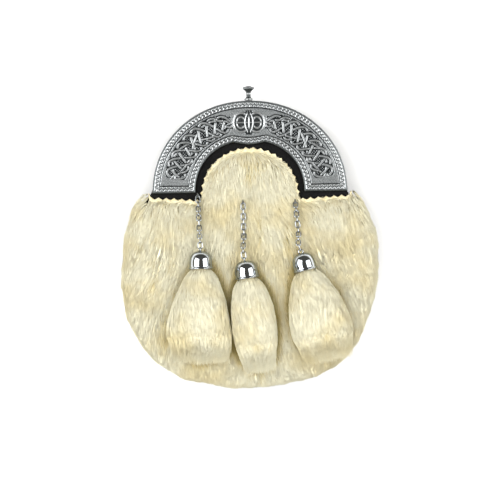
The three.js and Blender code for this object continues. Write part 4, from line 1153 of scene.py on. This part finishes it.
cad_turn, cad_reach = turn_and_reach(cad_points("fur_cover"))
sectors = np.linspace(-np.pi, np.pi, 181)
HALF_SECTOR = 0.035
sector_reach = [cad_reach[np.abs(cad_turn - s) < HALF_SECTOR].max() for s in sectors]


def outline_distance(points):
    """How far in mm each point is from the outline all round, and the way out to it."""
    turn, reach = turn_and_reach(points)
    way = np.stack([np.cos(turn), np.sin(turn), np.zeros(len(turn))], axis=1)
    return np.interp(turn, sectors, sector_reach) - reach, way


# The hide follows the front. Away from its edges it lies deeper, out of sight under the hair.
front_hide = smoothed("front_hide", "fur_cover", hide, 1)
points, normals = read_points(front_hide.data)
from_pinking, _ = pinking_distance(points)
from_outline, outward = outline_distance(points)
away_from_edge = eased(2, 12, from_pinking)
under_hair = away_from_edge * eased(-0.3, 0.2, normals[:, 2])
points -= normals * ((0.4 + 0.5 * under_hair) * MM)[:, None]
points[:, 2] -= 2.0 * under_hair * MM
points -= outward * (2.6 * away_from_edge * (1 - eased(4, 14, from_outline)) * MM)[:, None]
move_points(front_hide.data, points)

front_skin, points, normals = root_skin("front_skin", "fur_cover", 2.2, 4)
local = from_feet(points)
from_pinking, to_pinking = pinking_distance(points)
from_outline, outward = outline_distance(points)

# Painted shade: the coat is darkened beside the tassels that lie on it, where they shade it.
tassel_gap = np.full(len(points), FAR_MM)
for side in TASSELS:
    body = frame["nodes"]["tassel_fur_" + side].data
    plan = BVHTree.FromPolygons([(v.co.x, v.co.y, 0) for v in body.vertices],
                                [tuple(f.vertices) for f in body.polygons])
    gaps = np.array([plan.find_nearest(Vector((x, y, 0)))[3] for x, y, _ in points]) / MM
    tassel_gap = np.minimum(tassel_gap, gaps)
shade_beside_tassels = 1 - eased(1.0, 6.5, tassel_gap)
shade_beside_tassels *= 1 - 0.65 * eased(34, 52, np.abs(local[:, 0] + 4))

# It is uneven: it swells and sinks a little, and it parts along wandering lines.
swell = swirl(points, 24, 4)[:, 0]
parting_line = swirl(points * np.array([1.0, 0.38, 0.4]), 17, 5)[:, 1]
partings = np.exp(-(parting_line / 0.11) ** 2) * eased(-0.1, 0.15, swirl(points, 40, 8)[:, 2])
partings *= eased(6, 16, from_pinking) * eased(2, 12, from_outline)
points += normals * ((1.7 * swell * eased(3, 14, from_pinking) - 1.2 * partings) * MM)[:, None]
move_points(front_skin.data, points)

# The hair lies down the front in broad swirls, keeps inside the pinked edge and turns over the
# outline. No wisp is longer than the way it has to the pinked edge and to the table.
LEAST_WAY = 0.12
_, normals = read_points(front_skin.data)
big, small = swirl(points, 36, 1), swirl(points, 12, 2)
flow = np.zeros_like(points)
flow[:, 0] = local[:, 0] * 0.004 + 0.55 * big[:, 0] + 0.16 * small[:, 0]
flow[:, 1] = -1.0 + 0.3 * big[:, 1]
over_edge = 1 - eased(1.0, 12.0, from_outline)
flow -= outward * (np.sum(flow * outward, axis=1) * 0.8 * over_edge)[:, None]
flow[:, 2] -= 0.8 * over_edge
near_pinking = 1 - eased(2, 14, from_pinking)
flow -= to_pinking * (np.maximum(0, np.sum(flow * to_pinking, axis=1)) * near_pinking)[:, None]
flow = along_skin(flow, normals)
leaving = np.maximum(LEAST_WAY, np.sum(flow * to_pinking, axis=1))
falling = np.maximum(LEAST_WAY, -flow[:, 2])
room = np.maximum(from_pinking - 0.6, 0.8) / leaving / WISP_MM
room = np.minimum(room, (points[:, 2] / MM - 2) / falling / WISP_MM)
# Where no hair lies over the roots, at the pinked edge and the outline, they are painted pale,
# without the painted shade of the coat.
pale_pinking = 0.6 * (1 - eased(0.5, 5, from_pinking))
pale_outline = 0.5 * (1 - eased(0, 5, from_outline))
attributes = {
    "flow": flow,
    "upward": normals,
    "lit": lit_normals(normals),
    "hair": np.clip(np.minimum(0.4 + 0.6 * eased(0, 20, from_pinking), room), 0.1, 1),
    "cover": eased(0.2, 1.0, from_pinking) * (normals[:, 2] > -0.3),
    "pale": np.maximum(pale_pinking, pale_outline),
    # Partings bare more of the darker roots, and are painted with the shade that falls into them.
    "parting": 0.7 * partings,
    # Painted shade beside the tassels and down the partings.
    "hollow": 1.1 * shade_beside_tassels + 0.4 * partings,
    "free": np.zeros(len(points)),
}
FRONT_LAYERS = [
    {"wisp": under_wisp, "per_mm2": 0.43, "spread": 0.25, "stray": 0.12, "raise_mm": 0.5, "seed": 21},
    {"wisp": top_wisp, "per_mm2": 0.295, "spread": 0.3, "stray": 0.1, "raise_mm": 0.8, "seed": 22},
    {"wisp": top_wisp, "per_mm2": 0.295, "spread": 0.3, "stray": 0.17, "raise_mm": 1.2, "seed": 23},
]
lay_fur("front_fur", front_skin, attributes, front_skin, FRONT_LAYERS)


# Tassels: strips of the same fur rolled round a core, hair pointing down. Below the cap the fur is
# short and smooth, and it ends in loose tips.
FLARE_MM = {"left": (5.0, 0.5), "middle": (0.5, 0.5), "right": (3.6, 2.4)}  # to the left and right
TIP_RUN, TIP_KEEP = 26, 0.75  # the core stops short of the tips: its last part is pulled up
CORE_DEPTH_MM = 1.1
TASSEL_LAYERS = [
    {"wisp": under_wisp, "per_mm2": 0.67, "spread": 0.25, "stray": 0.07, "raise_mm": 0.3, "seed": 31},
    {"wisp": top_wisp, "per_mm2": 0.79, "spread": 0.3, "stray": 0.08, "raise_mm": 0.6, "seed": 32},
]


def below_lip(points, tassel):
    """How far in mm each point is below the lip of its cap, along the tassel."""
    return -((points - np.array(tassel["lip"])) @ np.array(tassel["up"])) / MM


for side, tassel in TASSELS.items():
    skin, points, normals = root_skin(side + "_tassel_skin", "tassel_fur_" + side, 1.9, 5)
    up = np.array(tassel["up"])
    below = below_lip(points, tassel)
    length = below.max()
    spread_mm = np.where(normals[:, 0] < 0, *FLARE_MM[side]) * normals[:, 0]
    points[:, 0] += spread_mm * eased(8, 0.75 * length, below) * MM
    move_points(skin.data, points)
    full = new_object(side + "_tassel_full", skin.data.copy(), hide)
    write_attribute(full.data, "upward", normals)
    # Painted shade: the hair darkens over the last few mm of the tassel, where its end turns under.
    write_attribute(full.data, "hollow", 0.12 * eased(length - 7, length - 1, below))

    # Roots and core are pulled up, so that only hair reaches the end.
    below = below_lip(points, tassel)
    pulled = np.maximum(0, below - (below.max() - TIP_RUN)) * (1 - TIP_KEEP) * MM
    points = points + up * pulled[:, None]
    move_points(skin.data, points)
    core = new_object(side + "_tassel_core", skin.data.copy(), hide)
    move_points(core.data, points - normals * CORE_DEPTH_MM * MM)
    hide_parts("tassel_fur_" + side)
    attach(core, "root")

    # Hair lies on the tassel above and hangs free at its end, where it shows its tips.
    below = below_lip(points, tassel)
    big, small = swirl(points, 34, 6), swirl(points, 12, 7)
    downward = -up[None, :] + 0.26 * big + 0.12 * small
    free = eased(length - 30, length - 12, below)[:, None]
    flow = along_skin(downward, normals) * (1 - free) + downward * free
    side_on = normals - up[None, :] * (normals @ up)[:, None] * free
    side_on[:, 2] += 0.9 * free[:, 0]
    side_on /= np.linalg.norm(side_on, axis=1)[:, None] + 1e-9
    hem = 0.35 * side_on - 1.8 * up[None, :]
    hem[:, 2] = 1.0
    lit = lit_normals(normals) * (1 - free) + hem * free
    to_end = (length - below + 4.5) / WISP_MM
    # Painted shade in streaks between the hanging locks, in a band above the loose tips.
    shade_streaks = eased(-0.2, 0.3, swirl(points * np.array([1.0, 0.35, 1.0]), 3.5, 9)[:, 0])
    shade_streaks *= eased(length - 32, length - 18, below)
    shade_streaks *= 1 - 0.8 * eased(length - 14, length - 2, below)
    attributes = {
        "flow": flow / np.linalg.norm(flow, axis=1)[:, None],
        "upward": side_on,
        "lit": lit / np.linalg.norm(lit, axis=1)[:, None],
        "hair": np.clip(np.minimum(0.5 + 0.5 * eased(6, 30, below), to_end), 0.3, 1),
        "cover": (below > 0.4) * 1.0,
        # Painted pale under the cap, where no hair lies over the roots.
        "pale": 1 - eased(2, 14, below),
        "parting": 0.7 * shade_streaks,
        "free": 0.8 * eased(length - 34, length - 12, below),
    }
    lay_fur(side + "_tassel_fur", skin, attributes, full, TASSEL_LAYERS)
